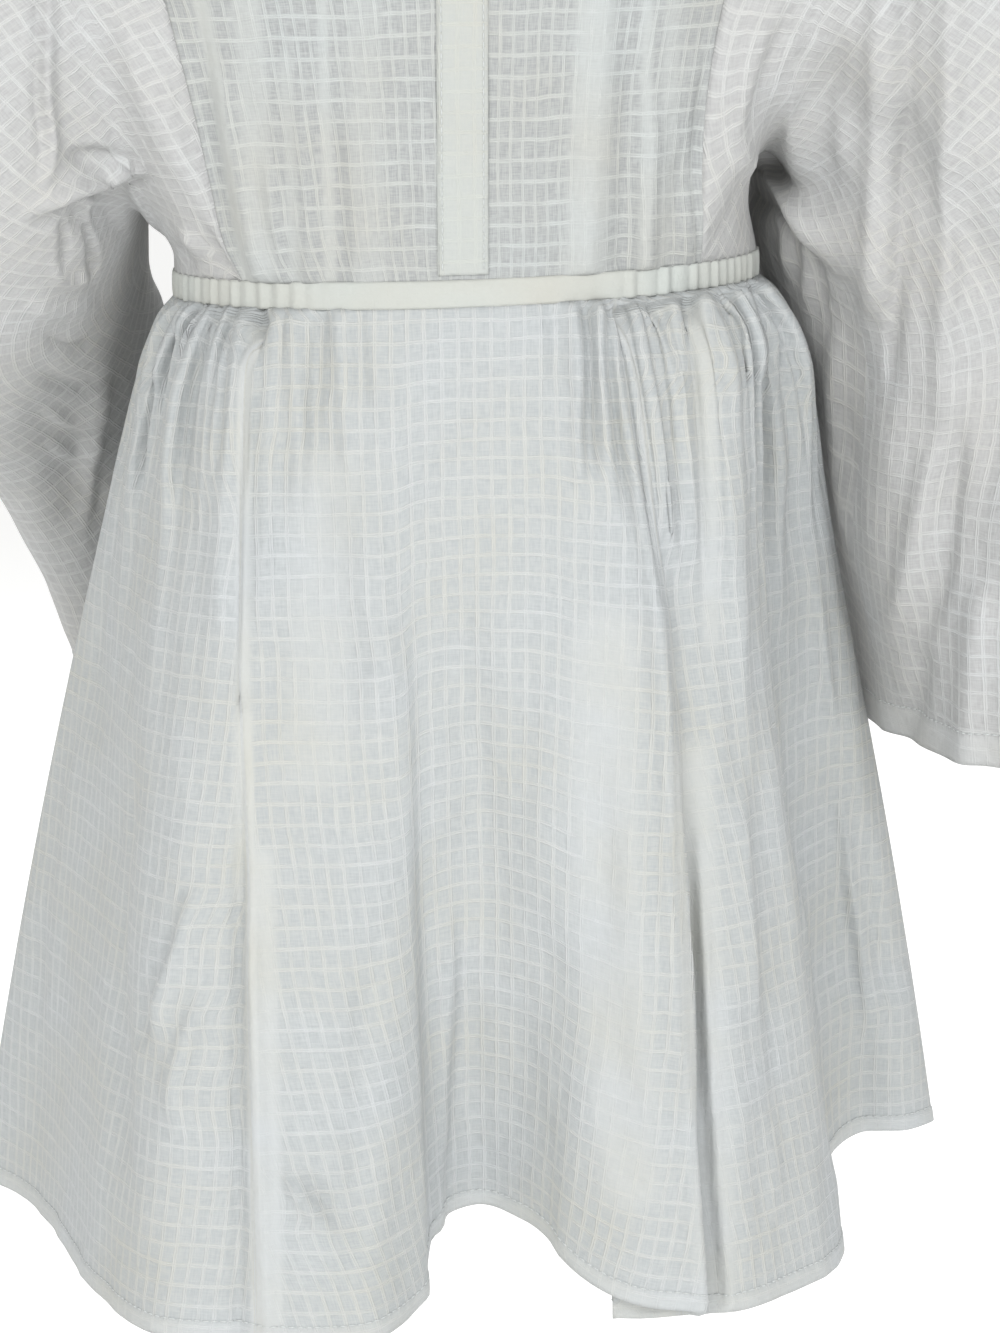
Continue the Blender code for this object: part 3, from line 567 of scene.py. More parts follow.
# Broad folds down the sleeves: the angle round the ring and the width in degrees, the rise in millimetres,
# and the shares of the length where each starts and ends.
SLEEVE_FOLDS = (
    # side, angle, width, rise, start, end
    ("left", 60, 14, 5, 0.05, 0.5),
    ("left", 130, 14, -5, 0.45, 0.95),
    ("left", 210, 16, 5, 0.1, 1.0),
    ("left", 300, 18, 6, 0.1, 1.0),
    ("right", 62, 16, 6, 0.1, 1.2),
    ("right", 138, 11, -8, 0.1, 0.9),
    ("right", 168, 10, 6, 0.3, 1.0),
    ("right", 250, 18, -7, 0.1, 1.2),
    ("right", 310, 20, 7, 0.1, 1.2),
)
SLEEVE_CREASES = {
    "left": (
        # name, left, right, rise, first, last, points
        ("upper crease", 9, 7, -4.2, 0, 0.2, ((60, 158), (95, 155), (130, 162))),
        ("elbow fold edge", 10, 5, 5.5, 0.3, 0.8, ((30, 208), (66, 190), (100, 180), (136, 168))),
        ("line under the fold", 5, 12, -6.5, 0.2, 0.55, ((40, 222), (72, 203), (102, 193), (138, 181))),
        ("elbow cavity", 18, 18, -3.5, 0, 0, ((92, 230), (112, 226), (130, 222))),
        ("seam hollow", 12, 5, -3.6, 0.6, 1, ((186, 50), (200, 140), (208, 200), (222, 258), (238, 284))),
        ("elbow fold", 8, 9, 6.4, 0.2, 0.3, ((35, 215), (70, 198), (100, 188), (135, 177))),
        ("elbow hollow", 14, 14, -5.6, 0, 0, ((62, 228), (95, 212), (136, 200))),
        ("drop crease", 6, 6, 3.5, 0, 0, ((100, 195), (92, 215), (85, 234))),
        ("outer line", 6, 4, -4.0, 1, 0, ((40, 0), (38, 90), (42, 160), (34, 204))),
        ("elbow drop", 5, 4, -3.6, 0, 0, ((62, 212), (66, 240), (64, 276))),
        ("elbow drop, inner", 5, 4, -4.2, 0, 0, ((84, 212), (92, 240), (90, 290))),
        ("curved wrinkle", 7, 5, 3.4, 0, 0, ((44, 262), (72, 280), (98, 268))),
        ("curved wrinkle, next", 6, 5, -3.4, 0, 0, ((38, 332), (72, 348), (112, 326))),
        ("curved wrinkle, below", 6, 6, 3.2, 0, 0, ((36, 404), (74, 420), (112, 400))),
        ("outer fold", 10, 8, 5.4, 0.5, 0, ((47, 0), (46, 90), (49, 150), (40, 205))),
        ("shoulder drag", 14, 12, 3.5, 0.4, 0, ((120, 0), (138, 70), (165, 140), (200, 215))),
        ("side drag", 10, 9, 3.8, 0.2, 0.2, ((160, 60), (178, 130), (200, 190), (232, 270))),
        ("swirl", 7, 6, 3.5, 0, 0, ((176, 222), (192, 238), (205, 262))),
        ("swirl, lower", 7, 6, -3.2, 0, 0, ((170, 240), (184, 256), (194, 276))),
        ("forearm wrinkle, top", 8, 10, 3.2, 0, 0, ((18, 300), (60, 312), (105, 300))),
        ("forearm wrinkle, middle", 8, 10, -3.5, 0, 0, ((30, 372), (80, 388), (122, 366))),
        ("forearm wrinkle, low", 7, 9, 3.2, 0, 0, ((40, 440), (80, 452), (108, 430))),
        ("forearm drag", 12, 9, 4.2, 0, 0, ((112, 330), (98, 410), (86, 500), (80, 560))),
    ),
    "right": (
        ("seam hollow", 9, 12, -4.5, 0.4, 0, ((790, 12), (773, 62), (757, 118), (744, 160))),
        ("drag from the arm", 12, 10, 3.8, 0, 0, ((800, 60), (790, 110), (800, 165), (822, 215))),
        ("drag, upper", 14, 12, -3.2, 0, 0, ((850, 20), (826, 90), (822, 150), (840, 220))),
        ("web cavity", 24, 4, -6.0, 0.4, 0.3, ((768, 200), (784, 214), (800, 236), (816, 266), (826, 300))),
        ("web", 12, 12, 6.0, 0.6, 0, ((752, 160), (772, 174), (792, 192), (812, 220), (830, 250))),
        ("web fold", 6, 10, 5.4, 0.5, 0.3, ((757, 178), (777, 190), (799, 210), (817, 240), (838, 270))),
        ("cavity rib", 6, 6, 3.8, 0, 0.3, ((772, 200), (782, 240), (790, 285))),
        ("cavity rib, outer", 6, 6, 3.8, 0, 0.3, ((795, 222), (803, 260), (808, 310))),
        ("long crease", 4, 11, -6.5, 0.9, 0, ((903, 0), (899, 120), (896, 220), (891, 340), (884, 430))),
        ("dark band", 6, 20, -3.2, 0.8, 0, ((914, 0), (912, 120), (908, 240), (902, 360))),
        ("long ridge", 12, 12, 4.6, 0.8, 0, ((880, 0), (876, 130), (872, 260), (868, 380))),
        ("outer ridge", 12, 14, 5.8, 0.8, 0.2, ((950, 0), (948, 160), (944, 320), (940, 470))),
        ("lower swing", 14, 10, -5.4, 0, 0, ((962, 400), (952, 500), (938, 590), (916, 660))),
        ("lower swing ridge", 14, 14, 4.8, 0, 0, ((935, 420), (922, 510), (902, 600), (880, 660))),
        ("inner rib", 10, 10, 3.8, 0, 0, ((838, 300), (834, 400), (848, 520), (866, 620))),
        ("hem sag", 14, 12, -4.2, 0, 0.6, ((925, 640), (915, 700), (905, 738))),
        ("outer hem ridge", 18, 14, 4.8, 0, 0.8, ((985, 560), (975, 660), (968, 770))),
    ),
}


def armhole(side, columns):
    """The edge that a sleeve is sewn to, once round by the bodice's seam and the waist, and its degrees."""
    left = side == "left"
    turn = -1 if left else 1
    span = sum(SLEEVE_SPAN.values())
    at = (np.linspace(0, span, columns) + span / 2) % span
    top_to_waist = SLEEVE_SPAN["front"]
    waist_end = top_to_waist + SLEEVE_SPAN["waist"]
    bearing = SEAM_BEARINGS[0 if left else 1]
    beneath = waist_points(
        bearing + (turn * 180 - 2 * bearing) * (at - top_to_waist) / SLEEVE_SPAN["waist"],
        CASING_HEIGHT / 2 + SEAM_GAP,
    )
    before = np.clip(1 - at / top_to_waist, 0, 1)
    behind = np.clip((at - waist_end) / SLEEVE_SPAN["back"], 0, 1)
    front_edge = bodice_panel(-1, ARMHOLE_COLUMNS, before)[:, 0 if left else -1]
    back_edge = bodice_panel(1, ARMHOLE_COLUMNS, behind)[:, -1 if left else 0]
    edge = np.where((at < top_to_waist)[:, None], front_edge, beneath)
    return np.where((at > waist_end)[:, None], back_edge, edge), np.degrees(2 * np.pi * at / span)


def sleeve_points(side, columns, rows):
    """Points of a sleeve from the armhole down, and how far each row lies from the hem."""
    turn = -1 if side == "left" else 1
    edge, degrees = armhole(side, columns)
    angles = np.radians(degrees)
    sections = [edge]
    for _, x, y, z, across, deep, tip, pitch, swing in SLEEVE_RINGS[side]:
        tip, pitch, swing = np.radians([tip, pitch, swing])
        outer = np.array([turn * np.cos(tip) * np.cos(swing), np.cos(tip) * np.sin(swing), np.sin(tip)])
        front = np.array([turn * np.sin(swing), -np.cos(swing) * np.cos(pitch), -np.sin(pitch)])
        ring = np.outer(np.cos(angles), outer * across) + np.outer(np.sin(angles), front * deep)
        sections.append((np.array([x, y, z]) + ring) * MM)
    sections = np.array(sections)
    keys = np.concatenate([[0], np.cumsum(np.linalg.norm(np.diff(sections, axis=0), axis=2).mean(axis=1))])
    at = np.linspace(0, keys[-1] - SLEEVE_HEM, rows - SLEEVE_HEM_ROWS)
    at = np.concatenate([at, np.linspace(at[-1], keys[-1], SLEEVE_HEM_ROWS + 1)[1:]])
    points = spline(keys, sections, at)
    out = unit(points - points.mean(axis=1, keepdims=True))
    share = at / keys[-1]
    for owner, angle, width, rise, start, end in SLEEVE_FOLDS:
        if owner == side:
            away = (degrees - angle + 180) % 360 - 180
            strength = ease((share - start) / 0.2) * ease((end - share) / 0.2)
            fold = np.outer(strength, np.exp(-((away / width) ** 2)))
            points = points + out * (rise * MM * fold)[:, :, None]
    return points, keys[-1] - at


def unrolled(points, upright):
    """Where each point of a sleeve lies with its seam opened and the cloth laid flat.

    upright is the column that runs straight up from the hem.
    """
    rows, columns = points.shape[:2]
    kept_columns = np.round(np.linspace(0, columns - 1, UNROLL_GRID[0])).astype(int)
    kept_rows = np.round(np.linspace(0, rows - 1, UNROLL_GRID[1])).astype(int)
    coarse = points[kept_rows][:, kept_columns]
    guide, corners = cloth_grid("sleeve guide", coarse)
    bpy.ops.object.mode_set(mode="EDIT")
    bpy.ops.mesh.select_all(action="SELECT")
    bpy.ops.uv.unwrap(method="MINIMUM_STRETCH", margin=0.0)
    bpy.ops.object.mode_set(mode="OBJECT")
    places = np.zeros(2 * len(corners), np.float32)
    guide.data.uv_layers[0].data.foreach_get("uv", places)
    bpy.data.objects.remove(guide)
    flat = np.zeros((coarse.shape[0] * coarse.shape[1], 2))
    flat[corners] = places.reshape(-1, 2)
    flat = flat.reshape(coarse.shape[0], coarse.shape[1], 2)
    real = np.linalg.norm(np.diff(coarse, axis=0), axis=2).sum()
    flat *= real / np.linalg.norm(np.diff(flat, axis=0), axis=2).sum()
    near = int(np.argmin(np.abs(kept_columns - upright)))
    up = flat[UPRIGHT_ROWS, near] - flat[0, near]
    up /= np.linalg.norm(up)
    flat = (flat - flat[0, near]) @ np.array([[up[1], up[0]], [-up[0], up[1]]])
    places = []
    for axis in range(2):
        lines = np.array([np.interp(np.arange(rows), kept_rows, line) for line in flat[..., axis].T])
        places.append(np.array([np.interp(np.arange(columns), kept_columns, line) for line in lines.T]))
    return np.stack(places, -1)


# The sleeves' windows show paler than the bodice's, as in the photograph.
sleeve_cotton = windowpane_cotton("windowpane cotton in shade", "#B5B7B7", "#9B9B9B", "#B0AFAA")
sleeve_hems = {}
for side in ("left", "right"):
    columns, rows = SLEEVE_GRID
    points, from_hem = sleeve_points(side, columns, rows)
    points = points[::-1]
    from_hem = from_hem[::-1]
    if side == "right":
        points = points[:, ::-1]
    normals = out_of_cloth(points, True)
    turned = facing_camera(points, normals)
    rise = crease_rise(photo_frame(points), turned, SLEEVE_CREASES[side])
    behind = facing_camera(points, normals, backwards=True)
    mirrored = back_frame(points, FAR_DROP)
    mirrored[..., 0] = PHOTO_WIDTH - mirrored[..., 0]
    rise += crease_rise(mirrored, behind * FAR_STRENGTH, SLEEVE_CREASES[side])
    rise += crumple_rise(points, *SLEEVE_CRUMPLE)
    rise *= ease(np.arange(rows)[::-1] / 2.5)[:, None]
    hem = ease((SLEEVE_HEM - from_hem) / (1.2 * MM))
    rise += HEM_STAND * hem[:, None]
    points = points + normals * rise[:, :, None]
    upright = int(np.argmin(points[: rows // 2, :, 1].mean(axis=0)))
    flat = unrolled(points, upright)
    above = flat[..., 1] - BIAS_START[side]
    bias = np.radians(SLEEVE_BIAS[side]) * ease(above / BIAS_REACH[side])
    above = above - BIAS_REACH[side] / 2
    across = flat[..., 0] * np.cos(bias) + above * np.sin(bias)
    along = above * np.cos(bias) - flat[..., 0] * np.sin(bias)
    name = "sleeve_" + side
    plain = 0.6 * hem[:, None]
    sleeve = make_sheet(
        name + "_cloth", points, across, along, plain, sleeve_cotton, closed=True
    )
    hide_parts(name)
    sleeve_hems[side] = points[SLEEVE_HEM_ROWS], normals[SLEEVE_HEM_ROWS + 1]

# Neck binding. A narrow bias band folded over the neck edge, 8 mm high, which stands up from it.
NECK_COLUMNS = 320
BINDING_HEIGHT = 8 * MM
BINDING_ROWS = 9
BINDING_SWELL = 0.6 * MM
BINDING_RIPPLE = 0.25 * MM
BINDING_RIPPLES = 60
BINDING_LEAN = 0.35
BINDING_STAND = 0.94
TUBE_WALL = 2.4 * MM
bound = np.linspace(-NECK_SHARE, NECK_SHARE, NECK_COLUMNS // 2, endpoint=False)
edge = np.concatenate([bodice_top(bound, *NECK_FRONT), bodice_top(-bound, *NECK_BACK)])
edge = np.concatenate([edge, edge[:1]])
forward = np.gradient(edge, axis=0)
forward[0] = forward[-1] = edge[1] - edge[-2]
out = unit(np.cross(forward, [0, 0, 1.0]))
ripple = BINDING_RIPPLE * np.cos(np.linspace(0, 2 * np.pi * BINDING_RIPPLES, len(edge)))
profile = []
for height in np.linspace(0, 1, BINDING_ROWS):
    swell = BINDING_SWELL * np.sin(np.pi * height) + ripple * height
    lean = -BINDING_LEAN * BINDING_HEIGHT * height
    rise = np.array([0, 0, SEAM_GAP + BINDING_STAND * BINDING_HEIGHT * height])
    profile.append(edge + out * (swell + lean)[:, None] + rise)
profile = np.array(profile)
up = np.linspace(0, BINDING_HEIGHT, BINDING_ROWS)[:, None]
binding = make_sheet(
    "neck_binding_cloth", profile, row_lengths(profile, 0), up, 0.85, doubled_cotton,
    closed=True, wall=TUBE_WALL,
)
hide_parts("neck_binding")

# Waist casing. A stitched tunnel of doubled cotton that holds an elastic. It lies flat across the centre
# front and is drawn up into small puckers everywhere else.
CASING_COLUMNS = 720
CASING_ROWS = 11
CASING_BULGE = 0.7 * MM
CASING_LAP = 0.5 * MM
CASING_PUCKERS = 96
CASING_PUCKER = 0.9 * MM
# The puckers' spacing drifts by this share of one, this often round the waist, and the band's middle line
# wanders by each distance, this often round.
PUCKER_DRIFT = (0.22, 9)
CASING_WAVES = ((0.25 * MM, 11), (0.175 * MM, 23))
bearing = np.linspace(-180, 180, CASING_COLUMNS + 1)
turn = CASING_PUCKERS * (bearing + 180) / 360
drift, times = PUCKER_DRIFT
turn = turn + drift * np.sin(2 * np.pi * (bearing + 180) / 360 * times) * (np.abs(bearing) < 179)
pucker = np.cos(2 * np.pi * turn) * gathering(bearing) * (0.7 + 0.4 * np.sin(2.9 * np.round(turn)))
wavy = sum(depth * np.sin(np.radians(bearing * times)) for depth, times in CASING_WAVES)
profile = []
for height in np.linspace(-1, 1, CASING_ROWS):
    swell = CASING_BULGE * (1 - 0.65 * height**4) + CASING_PUCKER * pucker
    up = height * (CASING_HEIGHT / 2 + SEAM_GAP + CASING_LAP) + wavy * (1 - height**2)
    profile.append(waist_points(bearing, up) + waist_outward(bearing) * swell[:, None])
profile = np.array(profile)
casing = make_sheet(
    "waist_casing_cloth", profile, row_lengths(profile, 0), column_lengths(profile), 0.95, doubled_cotton,
    closed=True, wall=TUBE_WALL,
)
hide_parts("waist_casing")

# Skirt. A front and a back panel of windowpane cotton, sewn at the sides and gathered into the casing but
# for the flat centre front. It falls in deep folds to a narrow hem that is turned up twice and stitched.
HEM_HEIGHT = -0.820
HEM_BAND = 7 * MM
SKIRT_GRID = {"front": (330, 140), "back": (290, 116)}
SKIRT_CUT = {"front": (0.80, 0.43), "back": (0.69, 0.43)}
SKIRT_CRUMPLE = (1.4 * MM, 32 * MM)
# A level is the share of the way down from the waist. The rows stand closer above TOP_LEVEL and at the hem.
SKIRT_HEM_ROWS = 4
SKIRT_TOP_ROWS = 35
TOP_LEVEL = 0.16
SEAM_LEVEL = 0.016
SKIRT_GATHERS = {"front": 30, "back": 28}
GATHER_DEPTH = 3.2 * MM
GATHER_AT_SEAM = 0.35
GATHER_START = 0.022
GATHER_REACH = 0.17
# The weave lies straight down the middle of a panel, and down the middle of each flank past these bearings.
WEAVE_BREAKS = {"front": (-40.0, 29.5), "back": (128.0, 216.0)}
# The skirt flares from the waist like a bell, but for the centre front, which first falls straight, and it
# puffs out a little under the gathers.
CENTRE_FRONT = 50
CENTRE_BLEND = 34
BELL = 0.30
SKIRT_SWELL = 14 * MM
PUFF = 6.5 * MM
PUFF_LEVEL = 0.075
PUFF_TO_RIGHT = 0.4
TUCK_START = 0.4
# Ridges, hollows and edges, once round from the centre back by the left side: the bearing at the waist in
# degrees, then the hem's x and y, its lift, the bow half way down and the tuck under the next fold, in mm.
SKIRT_FOLDS = (
    # name, bearing, x, y, lift, bow, tuck
    ("back ridge", -180, -5, 172, 4, 0, 0),
    ("back hollow", -164, -48, 130, 6, 0, 0),
    ("back left ridge", -149, -88, 162, 4, 0, 0),
    ("back left hollow", -133, -122, 128, 6, 0, 0),
    ("left rear ridge", -118, -174, 144, 2, 0, 0),
    ("left rear hollow", -105, -192, 104, 3, 0, 0),
    ("left side", -90, -222, 68, 2, 0, 0),
    ("left side front", -79, -195, 34, 0, 0, 0),
    ("left hollow", -71, -176, -12, 0, 0, 0),
    ("left slope", -61, -151, -80, 0, 0, 0),
    ("left shoulder of ridge", -51, -121, -123, 0, 0, 0),
    ("left strip", -43, -90, -129, 0, 0, 0),
    ("left ridge", -31, -58, -135, 0, 0, 0),
    ("left ridge end", -19, -30, -125, 0, 0, 0),
    ("left turn", -13, -13, -92, 6, 0, 0),
    ("valley wall", -8, -11, -66, 24, 0, 0),
    ("valley", 0, 8, -54, 31, 0, 0),
    ("valley rise", 7, 25, -64, 30, 0, 0),
    ("right slope", 14, 38, -80, 26, 0, 0),
    ("right rise", 19, 52, -99, 16, 0, 0),
    ("right ridge", 24, 79, -110, 7, 0, 0),
    ("overlap edge", 27.5, 103, -108, 4, 0, 0),
    ("overlap back", 29, 105, -102, 0, 0, -8),
    ("overlap root", 31.5, 105, -98, -3, 0, -40),
    ("overlap return", 34.5, 107, -95, -2, 0, -14),
    ("right rib", 40, 118, -97, 0, 0, 0),
    ("right panel", 46, 133, -85, 0, -4, 0),
    ("right corner front", 52, 151, -64, 0, -10, 0),
    ("right corner", 58, 166, -24, 0, -13, 0),
    ("right hollow", 66, 163, 40, 12, -6, 0),
    ("side lobe front", 73, 184, 66, 21, 0, 0),
    ("side lobe", 81, 206, 68, 22, 0, 0),
    ("right side", 90, 221, 88, 20, 0, 0),
    ("right rear hollow", 101, 190, 116, 10, 0, 0),
    ("right rear ridge", 114, 152, 150, 5, 0, 0),
    ("back right hollow", 128, 116, 124, 6, 0, 0),
    ("back right ridge", 144, 78, 164, 4, 0, 0),
    ("back right inner hollow", 162, 38, 130, 6, 0, 0),
)
# Creases that follow the bearing at the waist. left, right and bearing are in degrees, the rise is in
# millimetres, and start and end are levels.
SKIRT_CREASES = (
    # name, bearing, left, right, rise, start, end
    ("left gather, outer", -74, 4, 4, 5, 0.0, 0.45),
    ("left gather, inner", -58, 4, 4, 4, 0.0, 0.55),
    ("left overlap", -41, 8, 2.5, 7, 0.02, 0.6),
    ("right overlap", 27.5, 7, 2.5, 6, 0.0, 0.9),
    ("right rib", 49, 4.5, 4.5, 7, 0.0, 0.55),
    ("right edge", 57.5, 6, 3, 6, 0.0, 1.2),
    ("right gather", 76, 4, 3, 5, 0.0, 0.4),
    ("back gather, right", 118, 6, 6, 5, 0.0, 0.6),
    ("back gather, middle", 155, 7, 5, 5, 0.0, 0.5),
    ("back gather, left", -150, 6, 6, 5, 0.0, 0.55),
    ("back gather, outer left", -112, 5, 6, 5, 0.0, 0.5),
)
SKIRT_FRONT_CREASES = (
    # name, left, right, rise, first, last, points
    ("fold line on the left", 2.5, 13, -5.2, 1, 0.8, ((258, 312), (250, 420), (243, 560), (239, 700))),
    ("ridge left of it", 10, 8, 3.6, 1, 0, ((240, 312), (231, 430), (224, 560), (222, 690))),
    ("ridge right of it", 8, 12, 2.4, 1, 0, ((276, 312), (268, 430), (262, 560), (258, 680))),
    ("low fold line", 5, 9, -4.2, 0.5, 0.8, ((239, 700), (238, 860), (235, 1020), (236, 1180), (236, 1333))),
    ("strip edge", 9, 6, 3.5, 0, 0.8, ((252, 840), (256, 1000), (262, 1150), (270, 1333))),
    ("outer left gather", 8, 5, 3.6, 1, 0, ((198, 300), (174, 340), (154, 392), (138, 460), (130, 540))),
    ("outer left line", 4, 7, -4.2, 1, 0, ((206, 300), (181, 340), (161, 390), (146, 452), (138, 520))),
    ("left gather", 8, 5, 3.4, 1, 0, ((214, 302), (198, 340), (184, 380), (172, 460), (166, 540))),
    ("left line", 4, 7, -4.2, 1, 0, ((222, 304), (206, 340), (192, 380), (180, 455), (175, 520))),
    ("inner left gather", 8, 5, 3.0, 1, 0, ((231, 306), (217, 350), (211, 420), (205, 500), (200, 580))),
    ("inner left line", 4, 8, -3.6, 1, 0, ((238, 308), (225, 352), (219, 420), (214, 490))),
    ("soft gather", 10, 7, 2.8, 1, 0, ((292, 308), (296, 360), (300, 450), (298, 560))),
    ("soft line", 5, 8, -2.8, 1, 0, ((320, 306), (317, 352), (315, 410), (318, 480))),
    ("second soft gather", 9, 9, 2.4, 1, 0, ((338, 306), (342, 352), (346, 420), (350, 500))),
    ("faint line", 5, 8, -2.2, 1, 0, ((355, 306), (360, 352), (364, 420))),
    ("gather at the middle", 8, 8, -1.8, 1, 0, ((551, 306), (556, 350), (560, 400))),
    ("swell, right of it", 9, 6, 3.2, 1, 0, ((572, 306), (578, 352), (578, 440), (584, 520))),
    ("line, right of it", 4, 7, -4.0, 1, 0, ((584, 306), (589, 352), (588, 440), (594, 500))),
    ("gather by the overlap", 7, 5, 3.4, 1, 0, ((598, 306), (600, 352), (606, 420), (612, 500))),
    ("line by the overlap", 4, 6, -4.6, 1, 0.2, ((609, 306), (609, 352), (615, 420), (624, 490), (636, 560))),
    ("line past overlap", 5, 6, -4.4, 1, 0.3, ((621, 306), (626, 366), (640, 446), (650, 520), (660, 600))),
    ("gather past it", 6, 6, 3.0, 1, 0, ((636, 306), (642, 352), (656, 430), (668, 520), (676, 600))),
    ("line past it", 4, 7, -3.6, 1, 0, ((650, 306), (660, 360), (669, 420), (680, 520), (686, 600))),
    ("ridge before the rib", 8, 6, 2.6, 1, 0, ((672, 304), (680, 366), (686, 440), (694, 540))),
    ("line before the rib", 5, 6, -4.4, 1, 0, ((688, 304), (694, 366), (700, 430), (704, 520), (706, 620))),
    ("bright rib", 8, 10, 3.6, 1, 0, ((703, 302), (712, 366), (722, 440), (728, 540), (730, 660))),
    ("rib line", 9, 4, -4.6, 1, 0, ((728, 300), (744, 338), (757, 383), (763, 446), (762, 520), (766, 620))),
    ("edge fold", 5, 8, 3.6, 1, 0, ((736, 296), (754, 334), (768, 386), (774, 450), (776, 560), (780, 660))),
    ("outer right line", 4, 7, -4.0, 1, 0, ((752, 292), (776, 326), (792, 366), (803, 420), (812, 490))),
    ("outer right gather", 6, 7, 3.2, 1, 0, ((762, 290), (788, 324), (804, 366), (814, 430), (822, 500))),
    ("low edge fold", 12, 7, 4.8, 0, 0.3, ((766, 640), (776, 800), (799, 950), (811, 1053), (828, 1138))),
    ("right gather", 8, 8, 3.2, 1, 0, ((745, 290), (775, 330), (796, 400), (806, 480))),
    ("far left trough", 14, 12, -6.4, 0, 0, ((134, 700), (120, 820), (112, 960), (118, 1100), (128, 1230))),
    ("far left ridge", 12, 14, 4.2, 0, 0, ((92, 680), (74, 820), (62, 960), (60, 1100))),
    ("crumple", 9, 12, 5.4, 0, 0, ((202, 880), (178, 940), (158, 1000), (166, 1060))),
    ("crumple, lower", 12, 9, 4.8, 0, 0, ((212, 980), (188, 1040), (176, 1100), (196, 1160))),
    ("crumple hollow", 9, 9, -4.8, 0, 0, ((186, 900), (164, 960), (146, 1010), (140, 1060))),
    ("slanting crease", 7, 9, 4.5, 0, 0, ((280, 1168), (306, 1204), (336, 1242))),
    ("slanting hollow", 8, 8, -3.5, 0, 0, ((296, 1164), (322, 1196), (350, 1226))),
    ("left ridge contour", 18, 8, 4.8, 0, 0.8, ((446, 860), (448, 980), (440, 1100), (431, 1290))),
    ("left ridge face", 22, 22, -3.8, 0, 0.4, ((372, 900), (366, 1040), (360, 1180), (352, 1320))),
    ("front sweep", 26, 22, 3.8, 0, 0, ((352, 430), (372, 560), (392, 700), (402, 830))),
    ("front hollow", 26, 26, -4.2, 0, 0, ((450, 520), (462, 660), (478, 800), (486, 940))),
    ("front swell", 24, 30, 3.8, 0, 0, ((560, 560), (556, 700), (548, 850), (560, 990))),
    ("smooth face", 26, 18, 4.2, 0, 0.4, ((626, 700), (636, 860), (648, 1020), (664, 1200))),
    ("overlap edge", 11, 5, 5.1, 0.4, 0.8,
     ((606, 312), (628, 430), (650, 560), (665, 700), (672, 900), (678, 1000), (690, 1138), (702, 1308))),
    ("crumpled rib", 6, 6, 4.2, 0, 0.6, ((696, 820), (704, 940), (712, 1080), (722, 1220), (730, 1300))),
    ("crumpled dip", 6, 6, -2.6, 0, 0.6, ((684, 760), (692, 900), (700, 1040), (712, 1200), (720, 1300))),
    ("panel crumple", 8, 8, 3.5, 0, 0, ((738, 760), (742, 860), (750, 960), (760, 1060))),
    ("panel dip", 10, 9, -2.4, 0, 0, ((756, 860), (768, 980), (780, 1100), (790, 1210))),
    ("lobe crumple", 7, 7, 4.2, 0, 0, ((836, 760), (846, 860), (862, 960), (872, 1050))),
    ("lobe dip", 8, 8, -2.8, 0, 0, ((858, 800), (872, 900), (886, 1000), (896, 1080))),
    ("lobe fold", 8, 8, 3.8, 0, 0, ((812, 560), (822, 660), (838, 760))),
)
SKIRT_FRONT_BANDS = (
    # name, half width, strength, points
    ("seam allowance", 13, 0.75, ((262, 860), (266, 1000), (270, 1160), (272, 1333))),
    ("fold line", 5, 0.6, ((252, 330), (241, 560), (238, 700), (236, 900))),
    ("smooth face", 34, 0.55, ((606, 640), (606, 800), (612, 960), (630, 1180))),
    ("overlap strip", 22, 0.7, ((690, 760), (700, 940), (708, 1100), (716, 1300))),
    ("bright rib", 9, 0.6, ((699, 310), (705, 420), (712, 640))),
    ("bright panel", 34, 0.4, ((330, 480), (322, 620), (316, 760))),
)
SKIRT_BACK_CREASES = (
    # name, left, right, rise, first, last, points
    ("gather", 9, 8, 5.4, 1, 0, ((300, 965), (280, 1080), (262, 1220))),
    ("dip", 8, 9, -4.8, 1, 0, ((322, 965), (306, 1090), (292, 1260))),
    ("long fold", 12, 7, 6.4, 1, 0, ((352, 965), (338, 1120), (328, 1300), (322, 1480))),
    ("hollow beside it", 12, 10, -5.1, 0.6, 0, ((380, 970), (372, 1140), (362, 1340))),
    ("inner gather", 9, 9, 4.5, 1, 0, ((412, 965), (404, 1080), (398, 1200))),
    ("middle dip", 14, 14, -4.8, 0.6, 0, ((470, 965), (466, 1150), (472, 1380))),
    ("middle fold", 14, 10, 5.4, 0.4, 0, ((520, 990), (528, 1200), (522, 1420), (530, 1640))),
    ("inner dip, other side", 9, 9, -4.8, 1, 0, ((566, 965), (574, 1090), (584, 1250))),
    ("gather, other side", 9, 9, 5.4, 1, 0, ((600, 965), (612, 1100), (622, 1260))),
    ("long fold, other side", 8, 12, 6.1, 1, 0, ((648, 965), (668, 1130), (682, 1320), (694, 1520))),
    ("dip, other side", 9, 9, -5.4, 1, 0, ((676, 965), (700, 1100), (722, 1280))),
    ("outer gather", 9, 9, 4.8, 1, 0, ((716, 965), (746, 1080), (770, 1200))),
    ("low crumple", 10, 12, 4.8, 0, 0, ((250, 1560), (238, 1660), (252, 1760))),
    ("low hollow", 16, 16, -5.4, 0, 0.4, ((600, 1560), (596, 1700), (604, 1860))),
    ("low slant", 9, 9, 4.2, 0, 0, ((420, 1700), (446, 1760), (480, 1810))),
)


